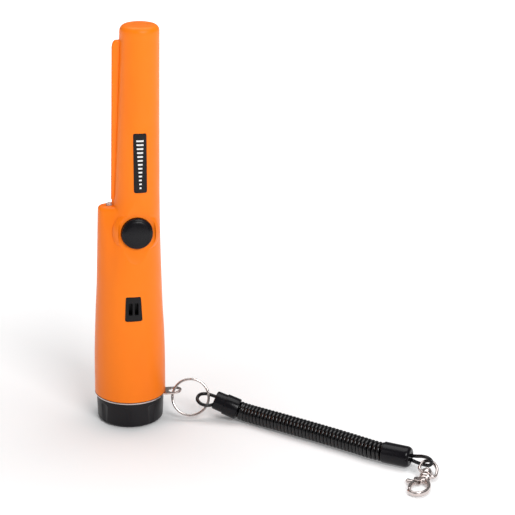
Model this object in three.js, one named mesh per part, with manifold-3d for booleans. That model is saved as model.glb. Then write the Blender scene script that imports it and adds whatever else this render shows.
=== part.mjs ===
// A handheld pinpointer probe for metal detecting: a tapered two-part housing
// with a scraping blade and a lamp ledge, the search coil in its tip, a board,
// a sounder and a vibration motor in its middle, and a 9 V battery behind a
// screw cap. A washer under the cap carries a split ring and a coiled lanyard
// with a swivel clasp. Units are millimetres, +Z runs up the probe, the button
// faces -Y and the ledge and blade point to -X. The origin is the centre of the
// cap's flat foot.
import * as THREE from 'three';
import { mergeVertices } from 'three/addons/utils/BufferGeometryUtils.js';
import Module from 'manifold-3d';

const wasm = await Module();
wasm.setup();

// Fits.
const GAP = 0.3;                 // between pieces that touch or seat
const RUNNING_GAP = 0.4;         // between pieces that turn or slide

// Housing.
const PROBE_LENGTH = 240;
const CAP_HEIGHT = 15.5;
const BASE_RADIUS = 21;
const NECK_RADIUS = 13.3;        // where the flare ends, just above the ledge
const TIP_RADIUS = 11.25;
const NECK_SHIFT = 5.1;          // how far the tube's axis has moved to +X at the neck
const TIP_SHIFT = 7.65;
const TIP_EDGE = 3.6;            // rounding of the tip's edge
const WALL = 2.2;
const LEDGE_TOP = 134.5;
const LEDGE_REACH = 17.6;        // from the axis to the ledge's nose, at its top
const LEDGE_NOSE_RADIUS = 4.8;
const LEDGE_EDGE = 2.4;
const LEDGE_FILLET = 1.6;
const NECK_RISE = 5.5;           // from the ledge's top up to the end of the flare
const BLADE_THICKNESS = 3.4;
const BLADE_FOOT_REACH = 9.95;   // from the axis to the blade's edge, at the ledge
const BLADE_TIP_REACH = 8.2;
const BLADE_TOP_DROP = 8.6;      // from the tip down to the blade's top
const BLADE_CORNER = 4.2;
const SPLIT_GAP = 0.15;          // half the gap between the two shells

// Flare of the housing from its foot (0) to the ledge's top (1): the share of the
// way from neck to base radius, and the share of the neck's shift to +X.
const FLARE = [[0, 1], [0.21, 0.974], [0.37, 0.883], [0.5, 0.78], [0.71, 0.526], [0.89, 0.234], [1.05, 0]];
const SHIFT = [[0, 0], [0.21, 0], [0.37, 0.02], [0.5, 0.06], [0.71, 0.31], [0.89, 0.67], [1.05, 1]];
// The ledge's nose grows from its own radius (0) to the base radius (1), and the
// slope of its sides, in degrees, opens until it melts into the round base.
const NOSE_SHARE = [
  [0, 1], [0.2, 1], [0.33, 0.92], [0.43, 0.75], [0.56, 0.6], [0.67, 0.5], [0.78, 0.39], [0.89, 0.24], [1, 0]];
const SIDE_SLOPE = [[0, 80], [0.2, 80], [0.33, 60], [0.43, 45], [0.56, 35], [0.67, 25], [1, 21.4]];

// Battery compartment and screw cap.
const CAP_INSET = 0.85;          // the cap's radius is this much less than the base's
const CAP_FLOOR = 2.8;
const CAP_FOOT_ROUND = 2.2;
const SCALLOP_COUNT = 8;
const SCALLOP_DEPTH = 0.55;
const SCALLOP_RADIUS = 9;
const SCALLOP_TURN = -13;        // degrees from -Y towards +X
const BOSS_WALL = 1.6;
const BOSS_RISE = 12.5;          // of the threaded boss above the cap's shoulder
const THREAD_PITCH = 3;
const THREAD_TURNS = 1.25;
const THREAD_RADIUS = 0.8;
const THREAD_SEGMENTS = 26;      // along one turn
const BATTERY_WIDTH = 26.5;
const BATTERY_DEPTH = 17.5;
const BATTERY_HEIGHT = 48.5;
const BATTERY_CORNER = 2;
const BATTERY_GAP = 0.45;        // from its corners to the boss's bore
const PAD_THICKNESS = 3.4;
const SEAL_THICKNESS = 1.5;
const WASHER_THICKNESS = 0.9;
const WASHER_PROUD = 0.2;        // beyond the housing's base radius

// Electronics.
const BOARD_FRONT = -3;          // the board's component face
const BOARD_THICKNESS = 1.6;
const BOARD_FOOT = 67;
const BOARD_RISE = 15.5;         // above the ledge's top
const SCREW_RADIUS = 1;
const SCREW_LENGTH = 8;
const BUTTON_HEIGHT = 121;
const BUTTON_RADIUS = 9;
const BUTTON_DOME = 1.9;
const BUTTON_TILT = 5.7;         // degrees, so that it faces slightly up
const COLLAR_WIDTH = 1.1;
const LABEL_LOW = 145;
const LABEL_HEIGHT = 34.8;
const LABEL_WIDTH = 7.4;
const LABEL_CORNER = 1.1;
const LABEL_PROUD = 0.15;
const LABEL_DEPTH = 0.6;
const GRILLE_LOW = 68.7;
const GRILLE_HEIGHT = 14.6;
const GRILLE_FOOT_WIDTH = 9.9;
const GRILLE_TOP_WIDTH = 8.6;
const GRILLE_SHIFT = 0.2;
const SLOT_WIDTH = 2.6;
const SLOT_HEIGHT = 7.3;
const SLOT_SPACING = 3.5;
const LAMP_X = -11;
const LAMP_RADIUS = 1.75;
const LAMP_PROUD = 1.6;
const ROD_RADIUS = 4;
const BOBBIN_WALL = 0.9;
const BOBBIN_FLANGE = 7.4;
const SEAT_RIB_HEIGHT = 164;
const SEAT_RIB_THICKNESS = 2;
const TIP_PAD_THICKNESS = 5;
const MOTOR_RADIUS = 5;
const MOTOR_LENGTH = 14;
const MOTOR_FOOT = 84;
const MOTOR_Y = 8;
const LEAD_RADIUS = 0.6;
const FINE_LEAD_RADIUS = 0.5;
const LAMP_LEAD_RADIUS = 0.35;

// Lanyard. Its hardware and its cord keep to the places listed here.
const TAB_ANGLE = -15;           // degrees from +X
const TAB_WIDTH = 9.4;
const TAB_BEND = 6;              // degrees upwards
const EYE_REACH = BASE_RADIUS + 5.5; // from the probe's axis to the washer's eye
const EYE_RADIUS = 3.1;
const RING_RADIUS = 10.9;
const RING_WIRE = 1.3;
const CORD_DIAMETER = 2.1;
const COIL_DIAMETER = 11.2;
const FERRULE_DIAMETER = 12.6;
const RING_FROM_EYE = [9.603, -3.341];
const RING_HEIGHT = 13.3;
const RING_NORMAL = [-0.15, -0.9, 0.4];
const FERRULE_NEAR = [[49.6, -12.8, 11.8], [62.9, -18.7, 7]];
const COIL_ROUTE = [
  [63.35, -18.9, 6.84], [65.2, -19.75, 6.17], [69, -22.9, 5.78], [75.2, -29.1, 5.95], [84, -37.5, 6.1],
  [95, -47.9, 6.1], [106, -58.5, 6.1], [117, -69.4, 6.1], [124.4, -77.1, 6.15], [129.4, -82.5, 6.2],
  [134.4, -86.6, 6.2]];
const FERRULE_FAR = [[134.8, -86.9, 6.35], [148.2, -96.7, 6.4]];
const NEAR_LOOP_TIP = [39, -11.9, 12.4];
const NEAR_LOOP_SIDE = [0, 0.93, 0.37];
const NEAR_LOOP_HALF = 4.9;
const FAR_LOOP_ROUTE = [
  [148.65, -97.1, 7.9], [150.9, -99.7, 9.4], [153.8, -103.2, 10.3], [156.1, -105.9, 9.3], [157, -107, 7.2],
  [156.1, -105.9, 5.2], [153.8, -103.2, 4.7], [150.9, -99.7, 4.4], [148.65, -97.1, 4.9]];
const CLASP_EYE = [153, -112.6, 4];  // the middle of the swivel eye's bar
const CLASP_TURN = -123;         // degrees, the way the clasp points in plan
const EYE_TILT = -24;            // degrees that the swivel eye is turned about the clasp
const EYE_RISE = 15;             // degrees that its far end is lifted
const CLASP_LENGTH = 23.5;       // from the eye's bar to the hook's end
const CLASP_WIDTH = 12.4;
const CLASP_THICKNESS = 3.4;
const PIN_RADIUS = 0.6;
const CLASP_HEIGHT = 2.1;        // of the clasp's middle plane above the floor

// How finely the large round forms are cut into flats.
const HOUSING_SIDES = 44;
const HOUSING_RINGS = 14;
const CAVITY_SIDES = 28;
const CAVITY_RINGS = 9;
const CAP_SIDES = 40;

// Heights and radii that follow from the sizes above.
const WASHER_LOW = CAP_HEIGHT + RUNNING_GAP;
const HOUSING_FOOT = WASHER_LOW + WASHER_THICKNESS + RUNNING_GAP;
const BATTERY_LOW = CAP_FLOOR + GAP + PAD_THICKNESS + GAP;
const BATTERY_TOP = BATTERY_LOW + BATTERY_HEIGHT;
const BATTERY_REACH = BATTERY_CORNER
  + Math.hypot(BATTERY_WIDTH / 2 - BATTERY_CORNER, BATTERY_DEPTH / 2 - BATTERY_CORNER);
const CAP_RADIUS = BASE_RADIUS - CAP_INSET;
const MOUTH_RADIUS = BASE_RADIUS - WALL - 1.35;
const BOSS_RADIUS = MOUTH_RADIUS - RUNNING_GAP;
const CAP_BORE = Math.max(BATTERY_REACH + BATTERY_GAP, BOSS_RADIUS - BOSS_WALL);
const THREAD_LINE = BOSS_RADIUS;
const THREAD_LOW = HOUSING_FOOT + 5;
const BOSS_TOP = CAP_HEIGHT + BOSS_RISE;
const MOUTH_TOP = BOSS_TOP + 0.8;
const SEAL_RADIUS = BOSS_RADIUS + 0.15;
const SEAL_HEIGHT = HOUSING_FOOT + 0.2 + SEAL_THICKNESS / 2;
const SEAL_POCKET = SEAL_RADIUS + SEAL_THICKNESS / 2 + GAP;
const BOARD_BACK = BOARD_FRONT + BOARD_THICKNESS;
const BOARD_TOP = LEDGE_TOP + BOARD_RISE;
const BUTTON_TILT_RAD = THREE.MathUtils.degToRad(BUTTON_TILT);

const materials = {
  housing: { color: 0xf26a12, roughness: 0.34, metalness: 0 },
  blackPlastic: { color: 0x17151a, roughness: 0.45, metalness: 0 },
  rubber: { color: 0x121014, roughness: 0.6, metalness: 0 },
  label: { color: 0x1c171b, roughness: 0.3, metalness: 0 },
  lens: { color: 0xf4f2ee, roughness: 0.08, metalness: 0 },
  nickel: { color: 0xc9c3bd, roughness: 0.22, metalness: 1 },
  steel: { color: 0xb8b6b2, roughness: 0.3, metalness: 1 },
  copper: { color: 0xb4622c, roughness: 0.35, metalness: 1 },
  ferrite: { color: 0x2b2a2c, roughness: 0.7, metalness: 0.2 },
  board: { color: 0x12602f, roughness: 0.5, metalness: 0 },
  chip: { color: 0x1a1a1c, roughness: 0.5, metalness: 0 },
  foam: { color: 0x3a3a3c, roughness: 0.95, metalness: 0 },
  bobbin: { color: 0xd9d4c4, roughness: 0.5, metalness: 0 },
  battery: { color: 0x3c4046, roughness: 0.35, metalness: 0.3 },
  redWire: { color: 0xb01818, roughness: 0.5, metalness: 0 },
  blackWire: { color: 0x141414, roughness: 0.5, metalness: 0 },
  cord: { color: 0x101012, roughness: 0.35, metalness: 0 },
};

const probe = new THREE.Group();

/** Adds one named piece to a group. */
function addPiece(name, geometry, look, parent = probe) {
  const mesh = new THREE.Mesh(geometry, new THREE.MeshStandardMaterial(materials[look]));
  mesh.name = name;
  parent.add(mesh);
  return mesh;
}

/** Turns a closed geometry into a solid that can be joined and cut. */
function solid(geometry) {
  const plain = geometry.clone();
  plain.deleteAttribute('normal');
  plain.deleteAttribute('uv');
  const merged = mergeVertices(plain, 1e-4);
  const triVerts = new Uint32Array(merged.index.array);
  const vertProperties = new Float32Array(merged.attributes.position.array);
  return new wasm.Manifold(new wasm.Mesh({ numProp: 3, vertProperties, triVerts }));
}

/** Turns a solid back into a geometry. */
function skin(body) {
  const mesh = body.getMesh();
  const geometry = new THREE.BufferGeometry();
  const points = new Float32Array(mesh.vertProperties);
  geometry.setAttribute('position', new THREE.BufferAttribute(points, 3));
  geometry.setIndex(new THREE.BufferAttribute(new Uint32Array(mesh.triVerts), 1));
  geometry.computeVertexNormals();
  return geometry;
}

/** A smooth curve through [place, value] stations, held level past its ends. */
function through(stations, place) {
  const last = stations.length - 1;
  if (place <= stations[0][0]) return stations[0][1];
  if (place >= stations[last][0]) return stations[last][1];
  const slope = (i) => {
    const a = stations[Math.max(i - 1, 0)];
    const b = stations[Math.min(i + 1, last)];
    return (b[1] - a[1]) / (b[0] - a[0]);
  };
  const i = stations.findIndex((station) => station[0] > place) - 1;
  const span = stations[i + 1][0] - stations[i][0];
  const t = (place - stations[i][0]) / span;
  const rise = t * t * (3 - 2 * t);
  return stations[i][1] * (1 - rise) + stations[i + 1][1] * rise
    + span * (t * (1 - t) ** 2 * slope(i) - t * t * (1 - t) * slope(i + 1));
}

/** How much a rounded edge of the given size has drawn in at a distance past its start. */
function edgeDraw(size, past) {
  const t = Math.min(Math.max(past / size, 0), 1);
  return size * (1 - Math.sqrt(1 - t * t));
}

/** The housing's main round section at a height: its centre's x and its radius. */
function roundSection(height) {
  const u = (height - HOUSING_FOOT) / (LEDGE_TOP - HOUSING_FOOT);
  const neck = LEDGE_TOP + NECK_RISE;
  const v = Math.max((height - neck) / (PROBE_LENGTH - neck), 0);
  const x = NECK_SHIFT * through(SHIFT, u) + (TIP_SHIFT - NECK_SHIFT) * v;
  const lower = NECK_RADIUS + (BASE_RADIUS - NECK_RADIUS) * through(FLARE, u);
  return { x, radius: lower + (TIP_RADIUS - NECK_RADIUS) * v };
}

/** The larger of two numbers, with a soft change from one to the other. */
function softMax(a, b, blend) {
  const near = Math.max(blend - Math.abs(a - b), 0) / blend;
  return Math.max(a, b) + near * near * blend / 4;
}

/** Distance from the round section's centre to the ledge's skin along an angle. */
function ledgeRadius(height, angle, inset) {
  const u = (height - HOUSING_FOOT) / (LEDGE_TOP - HOUSING_FOOT);
  const drawn = inset + edgeDraw(LEDGE_EDGE, height + inset - (LEDGE_TOP - LEDGE_EDGE));
  const nose = LEDGE_NOSE_RADIUS + (BASE_RADIUS - LEDGE_NOSE_RADIUS) * through(NOSE_SHARE, u);
  const reach = LEDGE_REACH + (BASE_RADIUS - 0.7 - LEDGE_REACH) * Math.min((1 - u) / 0.8, 1);
  const radius = nose - drawn;
  const slope = THREE.MathUtils.degToRad(through(SIDE_SLOPE, u));
  const offset = nose - reach - roundSection(height).x;
  const cos = Math.cos(angle);
  const sin = Math.abs(Math.sin(angle));
  const square = radius * radius - (offset * sin) ** 2;
  if (cos < 0 && square >= 0) {
    const hit = offset * cos + Math.sqrt(square);
    if (hit * cos - offset <= -Math.sin(slope) * radius) return hit;
  }
  const sideDistance = radius - Math.sin(slope) * offset;
  const pastSide = Math.cos(slope) * cos + Math.sin(slope) * sin > 0;
  return pastSide ? sideDistance : sideDistance / (Math.cos(slope) * sin - Math.sin(slope) * cos);
}

/** A solid with a closed skin through sections at the given heights. */
function loft(heights, sides, radiusAt) {
  const geometry = new THREE.CylinderGeometry(1, 1, 1, sides, heights.length - 1);
  geometry.rotateX(Math.PI / 2);
  const position = geometry.attributes.position;
  for (let i = 0; i < position.count; i += 1) {
    const ring = Math.round((position.getZ(i) + 0.5) * (heights.length - 1));
    const height = heights[ring];
    const share = Math.hypot(position.getX(i), position.getY(i));
    const angle = Math.atan2(position.getY(i), position.getX(i));
    const radius = share < 0.5 ? 0 : radiusAt(height, angle);
    position.setXYZ(i, roundSection(height).x + radius * Math.cos(angle), radius * Math.sin(angle), height);
  }
  return solid(geometry);
}

/** Evenly spaced numbers from one end to the other, both included. */
function steps(from, to, count) {
  return Array.from({ length: count + 1 }, (_, i) => from + (to - from) * i / count);
}

/** Heights that follow a rounded edge up to its top. */
function roundedHeights(top, size, count) {
  return steps(0, Math.PI / 2, count).slice(1).map((turn) => top - size + size * Math.sin(turn));
}

/** The housing's full form, or the same form drawn in by an inset. */
function housingForm(inset, foot, sides, rings) {
  const ledgeTop = LEDGE_TOP - inset;
  const top = PROBE_LENGTH - inset;
  const lowerHeights = [
    ...steps(foot, ledgeTop - LEDGE_EDGE, rings), ...roundedHeights(ledgeTop, LEDGE_EDGE, 4)];
  const lower = loft(lowerHeights, sides, (height, angle) => {
    const main = roundSection(height).radius - inset;
    return softMax(main, ledgeRadius(height, angle, inset), LEDGE_FILLET);
  });
  const upperHeights = [
    ...steps(ledgeTop - 1, top - TIP_EDGE, Math.ceil(rings / 2)), ...roundedHeights(top, TIP_EDGE, 4)];
  const upper = loft(upperHeights, sides, (height) => {
    const drawn = edgeDraw(TIP_EDGE, height + inset - (PROBE_LENGTH - TIP_EDGE));
    return roundSection(height).radius - inset - drawn;
  });
  return lower.add(upper);
}

/** A box between two corners. */
function block(low, high) {
  const geometry = new THREE.BoxGeometry(high[0] - low[0], high[1] - low[1], high[2] - low[2]);
  geometry.translate((low[0] + high[0]) / 2, (low[1] + high[1]) / 2, (low[2] + high[2]) / 2);
  return geometry;
}

/** A round bar about +Z between two heights, centred on x and y. */
function bar(radius, low, high, x = 0, y = 0, sides = 32) {
  const geometry = new THREE.CylinderGeometry(radius, radius, high - low, sides);
  geometry.rotateX(Math.PI / 2);
  geometry.translate(x, y, (low + high) / 2);
  return geometry;
}

/** A turned piece about +Z from [radius, height] points that start and end on the axis. */
function turned(points, sides = 32) {
  const geometry = new THREE.LatheGeometry(points.map(([r, z]) => new THREE.Vector2(r, z)), sides);
  geometry.rotateX(Math.PI / 2);
  return geometry;
}

/** A ring about +Z with a closed section of [radius, height] points. */
function turnedRing(points, sides = 48) {
  return turned([...points, points[0]], sides);
}

/** An outline in the XZ plane, pushed from one y to another. */
function plateXZ(shape, front, back, curveSegments = 4) {
  const depth = back - front;
  const geometry = new THREE.ExtrudeGeometry(shape, { depth, bevelEnabled: false, curveSegments });
  geometry.rotateX(Math.PI / 2);
  geometry.translate(0, back, 0);
  return geometry;
}

/** A plate centred on z = 0 with a given outline and bevelled edges. */
function bevelledPlate(shape, thickness, bevel, bevelSegments = 1, curveSegments = 6) {
  const geometry = new THREE.ExtrudeGeometry(shape, {
    depth: thickness - 2 * bevel,
    bevelEnabled: bevel > 0,
    bevelThickness: bevel,
    bevelSize: bevel,
    bevelOffset: -bevel,
    bevelSegments,
    curveSegments,
  });
  geometry.translate(0, 0, -thickness / 2 + bevel);
  return geometry;
}

/** A shape through [x, y] corners, each corner rounded. */
function roundedShape(corners, radius) {
  const shape = new THREE.Shape();
  const at = (i) => new THREE.Vector2(...corners[(i + corners.length) % corners.length]);
  corners.forEach((_, i) => {
    const corner = at(i);
    const before = at(i - 1).sub(corner).setLength(radius).add(corner);
    const after = at(i + 1).sub(corner).setLength(radius).add(corner);
    if (i === 0) shape.moveTo(before.x, before.y);
    else shape.lineTo(before.x, before.y);
    shape.quadraticCurveTo(corner.x, corner.y, after.x, after.y);
  });
  shape.closePath();
  return shape;
}

/** A round section swept along a curve. */
function swept(curve, radius, count, sides = 8) {
  const section = new THREE.Shape();
  steps(0, 2 * Math.PI, sides).slice(0, -1).forEach((turn, i) => {
    const x = radius * Math.cos(turn);
    const y = radius * Math.sin(turn);
    if (i === 0) section.moveTo(x, y);
    else section.lineTo(x, y);
  });
  section.closePath();
  return new THREE.ExtrudeGeometry(section, { steps: count, extrudePath: curve, bevelEnabled: false });
}

/** A smooth curve through [x, y, z] points. */
function route(points) {
  const vectors = points.map((point) => new THREE.Vector3(...point));
  return new THREE.CatmullRomCurve3(vectors, false, 'centripetal');
}

/** A thread line rising about +Z. */
class ThreadCurve extends THREE.Curve {
  constructor(radius, low, pitch, turns, startTurn) {
    super();
    Object.assign(this, { radius, low, pitch, turns, startTurn });
  }

  getPoint(t, target = new THREE.Vector3()) {
    const turn = (this.startTurn + t * this.turns) * 2 * Math.PI;
    const z = this.low + this.pitch * (this.startTurn + t * this.turns);
    return target.set(this.radius * Math.cos(turn), this.radius * Math.sin(turn), z);
  }
}

/** The thread as a round ridge, from one turn number to another. */
function thread(radius, fromTurn, turns) {
  const curve = new ThreadCurve(THREAD_LINE, THREAD_LOW, THREAD_PITCH, turns, fromTurn);
  return solid(swept(curve, radius, Math.ceil(THREAD_SEGMENTS * turns), 6));
}

/** Where the housing's front skin is at a height, at a given x. */
function frontSkin(height, x) {
  const section = roundSection(height);
  return -Math.sqrt(section.radius ** 2 - (x - section.x) ** 2);
}

// The button's frame: its origin on the skin, its +Z along the outward normal.
const buttonX = roundSection(BUTTON_HEIGHT).x;
const buttonFrame = new THREE.Matrix4()
  .makeTranslation(buttonX, frontSkin(BUTTON_HEIGHT, buttonX), BUTTON_HEIGHT)
  .multiply(new THREE.Matrix4().makeRotationX(Math.PI / 2 - BUTTON_TILT_RAD));

/** Moves a geometry made about +Z into the button's frame. */
function atButton(geometry) {
  return geometry.applyMatrix4(buttonFrame);
}

// Depths in the button's frame, measured from the skin.
const BUTTON_RIM = -3.4;         // the front of the pocket for the button's flange
const BUTTON_POCKET = -4.4;      // the back of that flange
const COLLAR_TOP = -0.15;

/** The raised seat round the button and the opening through it. */
function buttonSeat(outer) {
  const top = BUTTON_RADIUS + GAP + COLLAR_WIDTH;
  const low = -5;
  const outline = [[0, low], [top + 3.4, low], [top + 2.6, -3.2], [top, COLLAR_TOP], [0, COLLAR_TOP]];
  const seat = solid(atButton(turned(outline)));
  const depth = solid(block([-60, -60, 0], [60, BOARD_FRONT - 6, PROBE_LENGTH]));
  return outer.add(seat.intersect(depth));
}

/** The opening that the button slides in, with a pocket for its flange. */
function buttonOpening() {
  const bore = BUTTON_RADIUS + GAP;
  const flange = bore + 1;
  const low = -9;
  const high = 6;
  const outline = [[0, low], [flange, low], [flange, BUTTON_RIM], [bore, BUTTON_RIM], [bore, high], [0, high]];
  return solid(atButton(turned(outline)));
}

// How far the front trim's cuts run in y: from past the skin to these depths.
const PAST_FRONT = -BASE_RADIUS - 5;
const LABEL_BACK = BOARD_FRONT - 3;
const GRILLE_BACK = BOARD_FRONT - 7;

/** Outline of the label, drawn in or out by an offset. */
function labelShape(offset) {
  const x = roundSection(LABEL_LOW + LABEL_HEIGHT / 2).x;
  const half = LABEL_WIDTH / 2 + offset;
  const low = LABEL_LOW - offset;
  const high = LABEL_LOW + LABEL_HEIGHT + offset;
  return roundedShape([[x - half, low], [x + half, low], [x + half, high], [x - half, high]], LABEL_CORNER);
}

/** Outline of the speaker window, drawn in or out by an offset. */
function grilleShape(offset) {
  const foot = GRILLE_FOOT_WIDTH / 2 + offset;
  const top = GRILLE_TOP_WIDTH / 2 + offset;
  const low = GRILLE_LOW - offset;
  const high = GRILLE_LOW + GRILLE_HEIGHT + offset;
  const x = GRILLE_SHIFT;
  return roundedShape([[x - foot, low], [x + foot, low], [x + top, high], [x - top, high]], 1);
}

const SCREW_PLACES = [
  [roundSection(BOARD_FOOT).x + 9.5, BOARD_FOOT + 5], [roundSection(BOARD_TOP).x + 4, BOARD_TOP - 6]];
const motorX = roundSection(MOTOR_FOOT).x + 0.6;

/** The blade's outline in the XZ plane. */
function bladeShape() {
  const top = PROBE_LENGTH - BLADE_TOP_DROP;
  const low = LEDGE_TOP - 1;
  const inner = roundSection(top).x - TIP_RADIUS + 1.4;
  const slope = (BLADE_FOOT_REACH - BLADE_TIP_REACH) / (top - LEDGE_TOP);
  const edge = (height) => -BLADE_TIP_REACH - slope * (top - height);
  const shape = new THREE.Shape();
  shape.moveTo(edge(low), low);
  shape.lineTo(roundSection(low).x - NECK_RADIUS + 1.2, low);
  shape.lineTo(inner, top);
  shape.lineTo(inner - 1, top);
  const corner = top - BLADE_CORNER;
  shape.bezierCurveTo(edge(top) + 1.4, top, edge(top), top - 1.4, edge(corner), corner);
  shape.closePath();
  return shape;
}

/** The housing before it is split, and the forms its insides are cut with. */
function wholeHousing() {
  let body = housingForm(0, HOUSING_FOOT, HOUSING_SIDES, HOUSING_RINGS);
  const blade = bevelledPlate(bladeShape(), BLADE_THICKNESS, 0.9, 2, 4);
  blade.rotateX(Math.PI / 2);
  body = body.add(solid(blade));
  body = buttonSeat(body);

  const mouth = turned([
    [0, HOUSING_FOOT - 1], [SEAL_POCKET, HOUSING_FOOT - 1], [SEAL_POCKET, HOUSING_FOOT + 2.1],
    [MOUTH_RADIUS, HOUSING_FOOT + 3], [MOUTH_RADIUS, MOUTH_TOP + 0.5], [0, MOUTH_TOP + 0.5]], HOUSING_SIDES);
  const cavity = housingForm(WALL, MOUTH_TOP, CAVITY_SIDES, CAVITY_RINGS);
  const ribTop = SEAT_RIB_HEIGHT + SEAT_RIB_THICKNESS;
  const ribX = roundSection(SEAT_RIB_HEIGHT).x;
  const seatRib = solid(bar(2 * BASE_RADIUS, SEAT_RIB_HEIGHT, ribTop, 0, 0, 24))
    .subtract(solid(bar(ROD_RADIUS + 0.6, SEAT_RIB_HEIGHT - 1, ribTop + 1, ribX, 0, 24)));
  body = body.subtract(cavity.subtract(seatRib)).subtract(solid(mouth));
  const leadIn = (THREAD_LOW - HOUSING_FOOT) / THREAD_PITCH;
  body = body.subtract(thread(THREAD_RADIUS + RUNNING_GAP, -leadIn - 0.1, THREAD_TURNS + leadIn + 0.2));

  body = body.subtract(buttonOpening());
  body = body.subtract(solid(bar(LAMP_RADIUS + GAP, LEDGE_TOP - WALL - 2, LEDGE_TOP + 2, LAMP_X, 0, 24)));
  body = body.subtract(solid(plateXZ(grilleShape(GAP), PAST_FRONT, GRILLE_BACK)));
  const labelPocket = solid(plateXZ(labelShape(GAP), PAST_FRONT, LABEL_BACK))
    .subtract(housingForm(LABEL_DEPTH + GAP, HOUSING_FOOT, HOUSING_SIDES, HOUSING_RINGS));
  return body.subtract(labelPocket);
}

/** Posts and a cradle that the rear shell carries, kept inside the outer skin. */
function rearFittings() {
  const inside = housingForm(WALL / 2, MOUTH_TOP, CAVITY_SIDES, CAVITY_RINGS);
  let fittings = null;
  SCREW_PLACES.forEach(([x, z]) => {
    const post = solid(bar(2.8, -40, -(BOARD_BACK + GAP), 0, 0, 20));
    const hole = solid(bar(SCREW_RADIUS + GAP, -(BOARD_BACK + SCREW_LENGTH + 1), 4, 0, 0, 16));
    const whole = post.subtract(hole).rotate([90, 0, 0]).translate([x, 0, z]);
    fittings = fittings ? fittings.add(whole) : whole;
  });
  const low = MOTOR_FOOT + 2;
  const side = MOTOR_RADIUS + 1.5;
  const cradle = solid(block([motorX - side, MOTOR_Y, low], [motorX + side, 2 * BASE_RADIUS, low + 8]))
    .subtract(solid(bar(MOTOR_RADIUS + GAP, low - 1, low + 9, motorX, MOTOR_Y, 28)));
  return fittings.add(cradle).intersect(inside);
}

/** The two halves of the housing. */
function addShells() {
  const whole = wholeHousing();
  const front = solid(block([-80, -80, -1], [80, -SPLIT_GAP, PROBE_LENGTH + 1]));
  const rear = solid(block([-80, SPLIT_GAP, -1], [80, 80, PROBE_LENGTH + 1]));
  addPiece('front_shell', skin(whole.intersect(front)), 'housing');
  addPiece('rear_shell', skin(whole.intersect(rear).add(rearFittings())), 'housing');
}

/** The screw cap: a cup with finger scallops and a threaded boss. */
function addBatteryCap() {
  const foot = CAP_RADIUS - 0.5;
  const arc = steps(0, Math.PI / 2, 4).map((turn) => [
    foot - CAP_FOOT_ROUND * (1 - Math.sin(turn)), CAP_FOOT_ROUND * (1 - Math.cos(turn))]);
  const grooveRadius = SEAL_RADIUS - SEAL_THICKNESS / 2 - GAP;
  const sealTop = SEAL_HEIGHT + SEAL_THICKNESS / 2;
  const cup = solid(turned([
    [0, 0], ...arc, [CAP_RADIUS, CAP_HEIGHT - 1.2], [CAP_RADIUS - 0.4, CAP_HEIGHT], [grooveRadius, CAP_HEIGHT],
    [grooveRadius, sealTop + GAP], [BOSS_RADIUS, sealTop + 0.8], [BOSS_RADIUS, BOSS_TOP - 0.6],
    [BOSS_RADIUS - 0.6, BOSS_TOP], [CAP_BORE, BOSS_TOP], [CAP_BORE, CAP_FLOOR], [0, CAP_FLOOR]], CAP_SIDES));
  const threadZone = solid(bar(CAP_RADIUS, 0, BOSS_TOP - 0.3, 0, 0, CAP_SIDES))
    .subtract(solid(bar(BOSS_RADIUS - 0.7, -1, BOSS_TOP, 0, 0, CAP_SIDES)));
  let cap = cup.add(thread(THREAD_RADIUS, 0, THREAD_TURNS).intersect(threadZone));
  for (let i = 0; i < SCALLOP_COUNT; i += 1) {
    const turn = THREE.MathUtils.degToRad(SCALLOP_TURN + i * 360 / SCALLOP_COUNT);
    const reach = CAP_RADIUS - 0.25 + SCALLOP_RADIUS - SCALLOP_DEPTH;
    const x = reach * Math.sin(turn);
    const y = -reach * Math.cos(turn);
    cap = cap.subtract(solid(bar(SCALLOP_RADIUS, -1, CAP_HEIGHT - 2.2, x, y, 40)));
  }
  addPiece('battery_cap', skin(cap), 'blackPlastic');
  const pad = CAP_FLOOR + GAP;
  addPiece('battery_pad', bar(CAP_BORE - 0.6, pad, pad + PAD_THICKNESS, 0, 0, 32), 'foam');
}

/** The seal ring on the boss and the lanyard washer under the housing. */
function addSealAndWasher() {
  const ring = steps(0, 2 * Math.PI, 6).slice(0, -1).map((turn) => [
    SEAL_RADIUS + SEAL_THICKNESS / 2 * Math.cos(turn), SEAL_HEIGHT + SEAL_THICKNESS / 2 * Math.sin(turn)]);
  addPiece('seal_ring', turnedRing(ring, 36), 'rubber');

  const inner = THREAD_LINE + THREAD_RADIUS + 0.5;
  const outer = BASE_RADIUS + WASHER_PROUD;
  const high = WASHER_LOW + WASHER_THICKNESS;
  const section = [[inner, WASHER_LOW], [outer, WASHER_LOW], [outer, high], [inner, high]];
  let washer = solid(turnedRing(section, CAP_SIDES));
  const start = outer - 0.5;
  const length = EYE_REACH - start;
  const half = TAB_WIDTH / 2;
  const tabShape = new THREE.Shape();
  tabShape.moveTo(-0.6, -half);
  tabShape.lineTo(length, -half);
  tabShape.absarc(length, 0, half, -Math.PI / 2, Math.PI / 2, false);
  tabShape.lineTo(-0.6, half);
  tabShape.closePath();
  const eye = new THREE.Path();
  eye.absarc(length, 0, EYE_RADIUS, 0, 2 * Math.PI, true);
  tabShape.holes.push(eye);
  const tab = new THREE.ExtrudeGeometry(tabShape, {
    depth: WASHER_THICKNESS, bevelEnabled: false, curveSegments: 12,
  });
  tab.rotateY(-THREE.MathUtils.degToRad(TAB_BEND));
  tab.translate(start, 0, WASHER_LOW);
  tab.rotateZ(THREE.MathUtils.degToRad(TAB_ANGLE));
  const keep = solid(bar(3 * BASE_RADIUS, WASHER_LOW, WASHER_LOW + 30, 0, 0, 24))
    .subtract(solid(bar(inner, 0, WASHER_LOW + 40, 0, 0, CAP_SIDES)));
  washer = washer.add(solid(tab).intersect(keep));
  addPiece('lanyard_washer', skin(washer), 'nickel');
}

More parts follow.
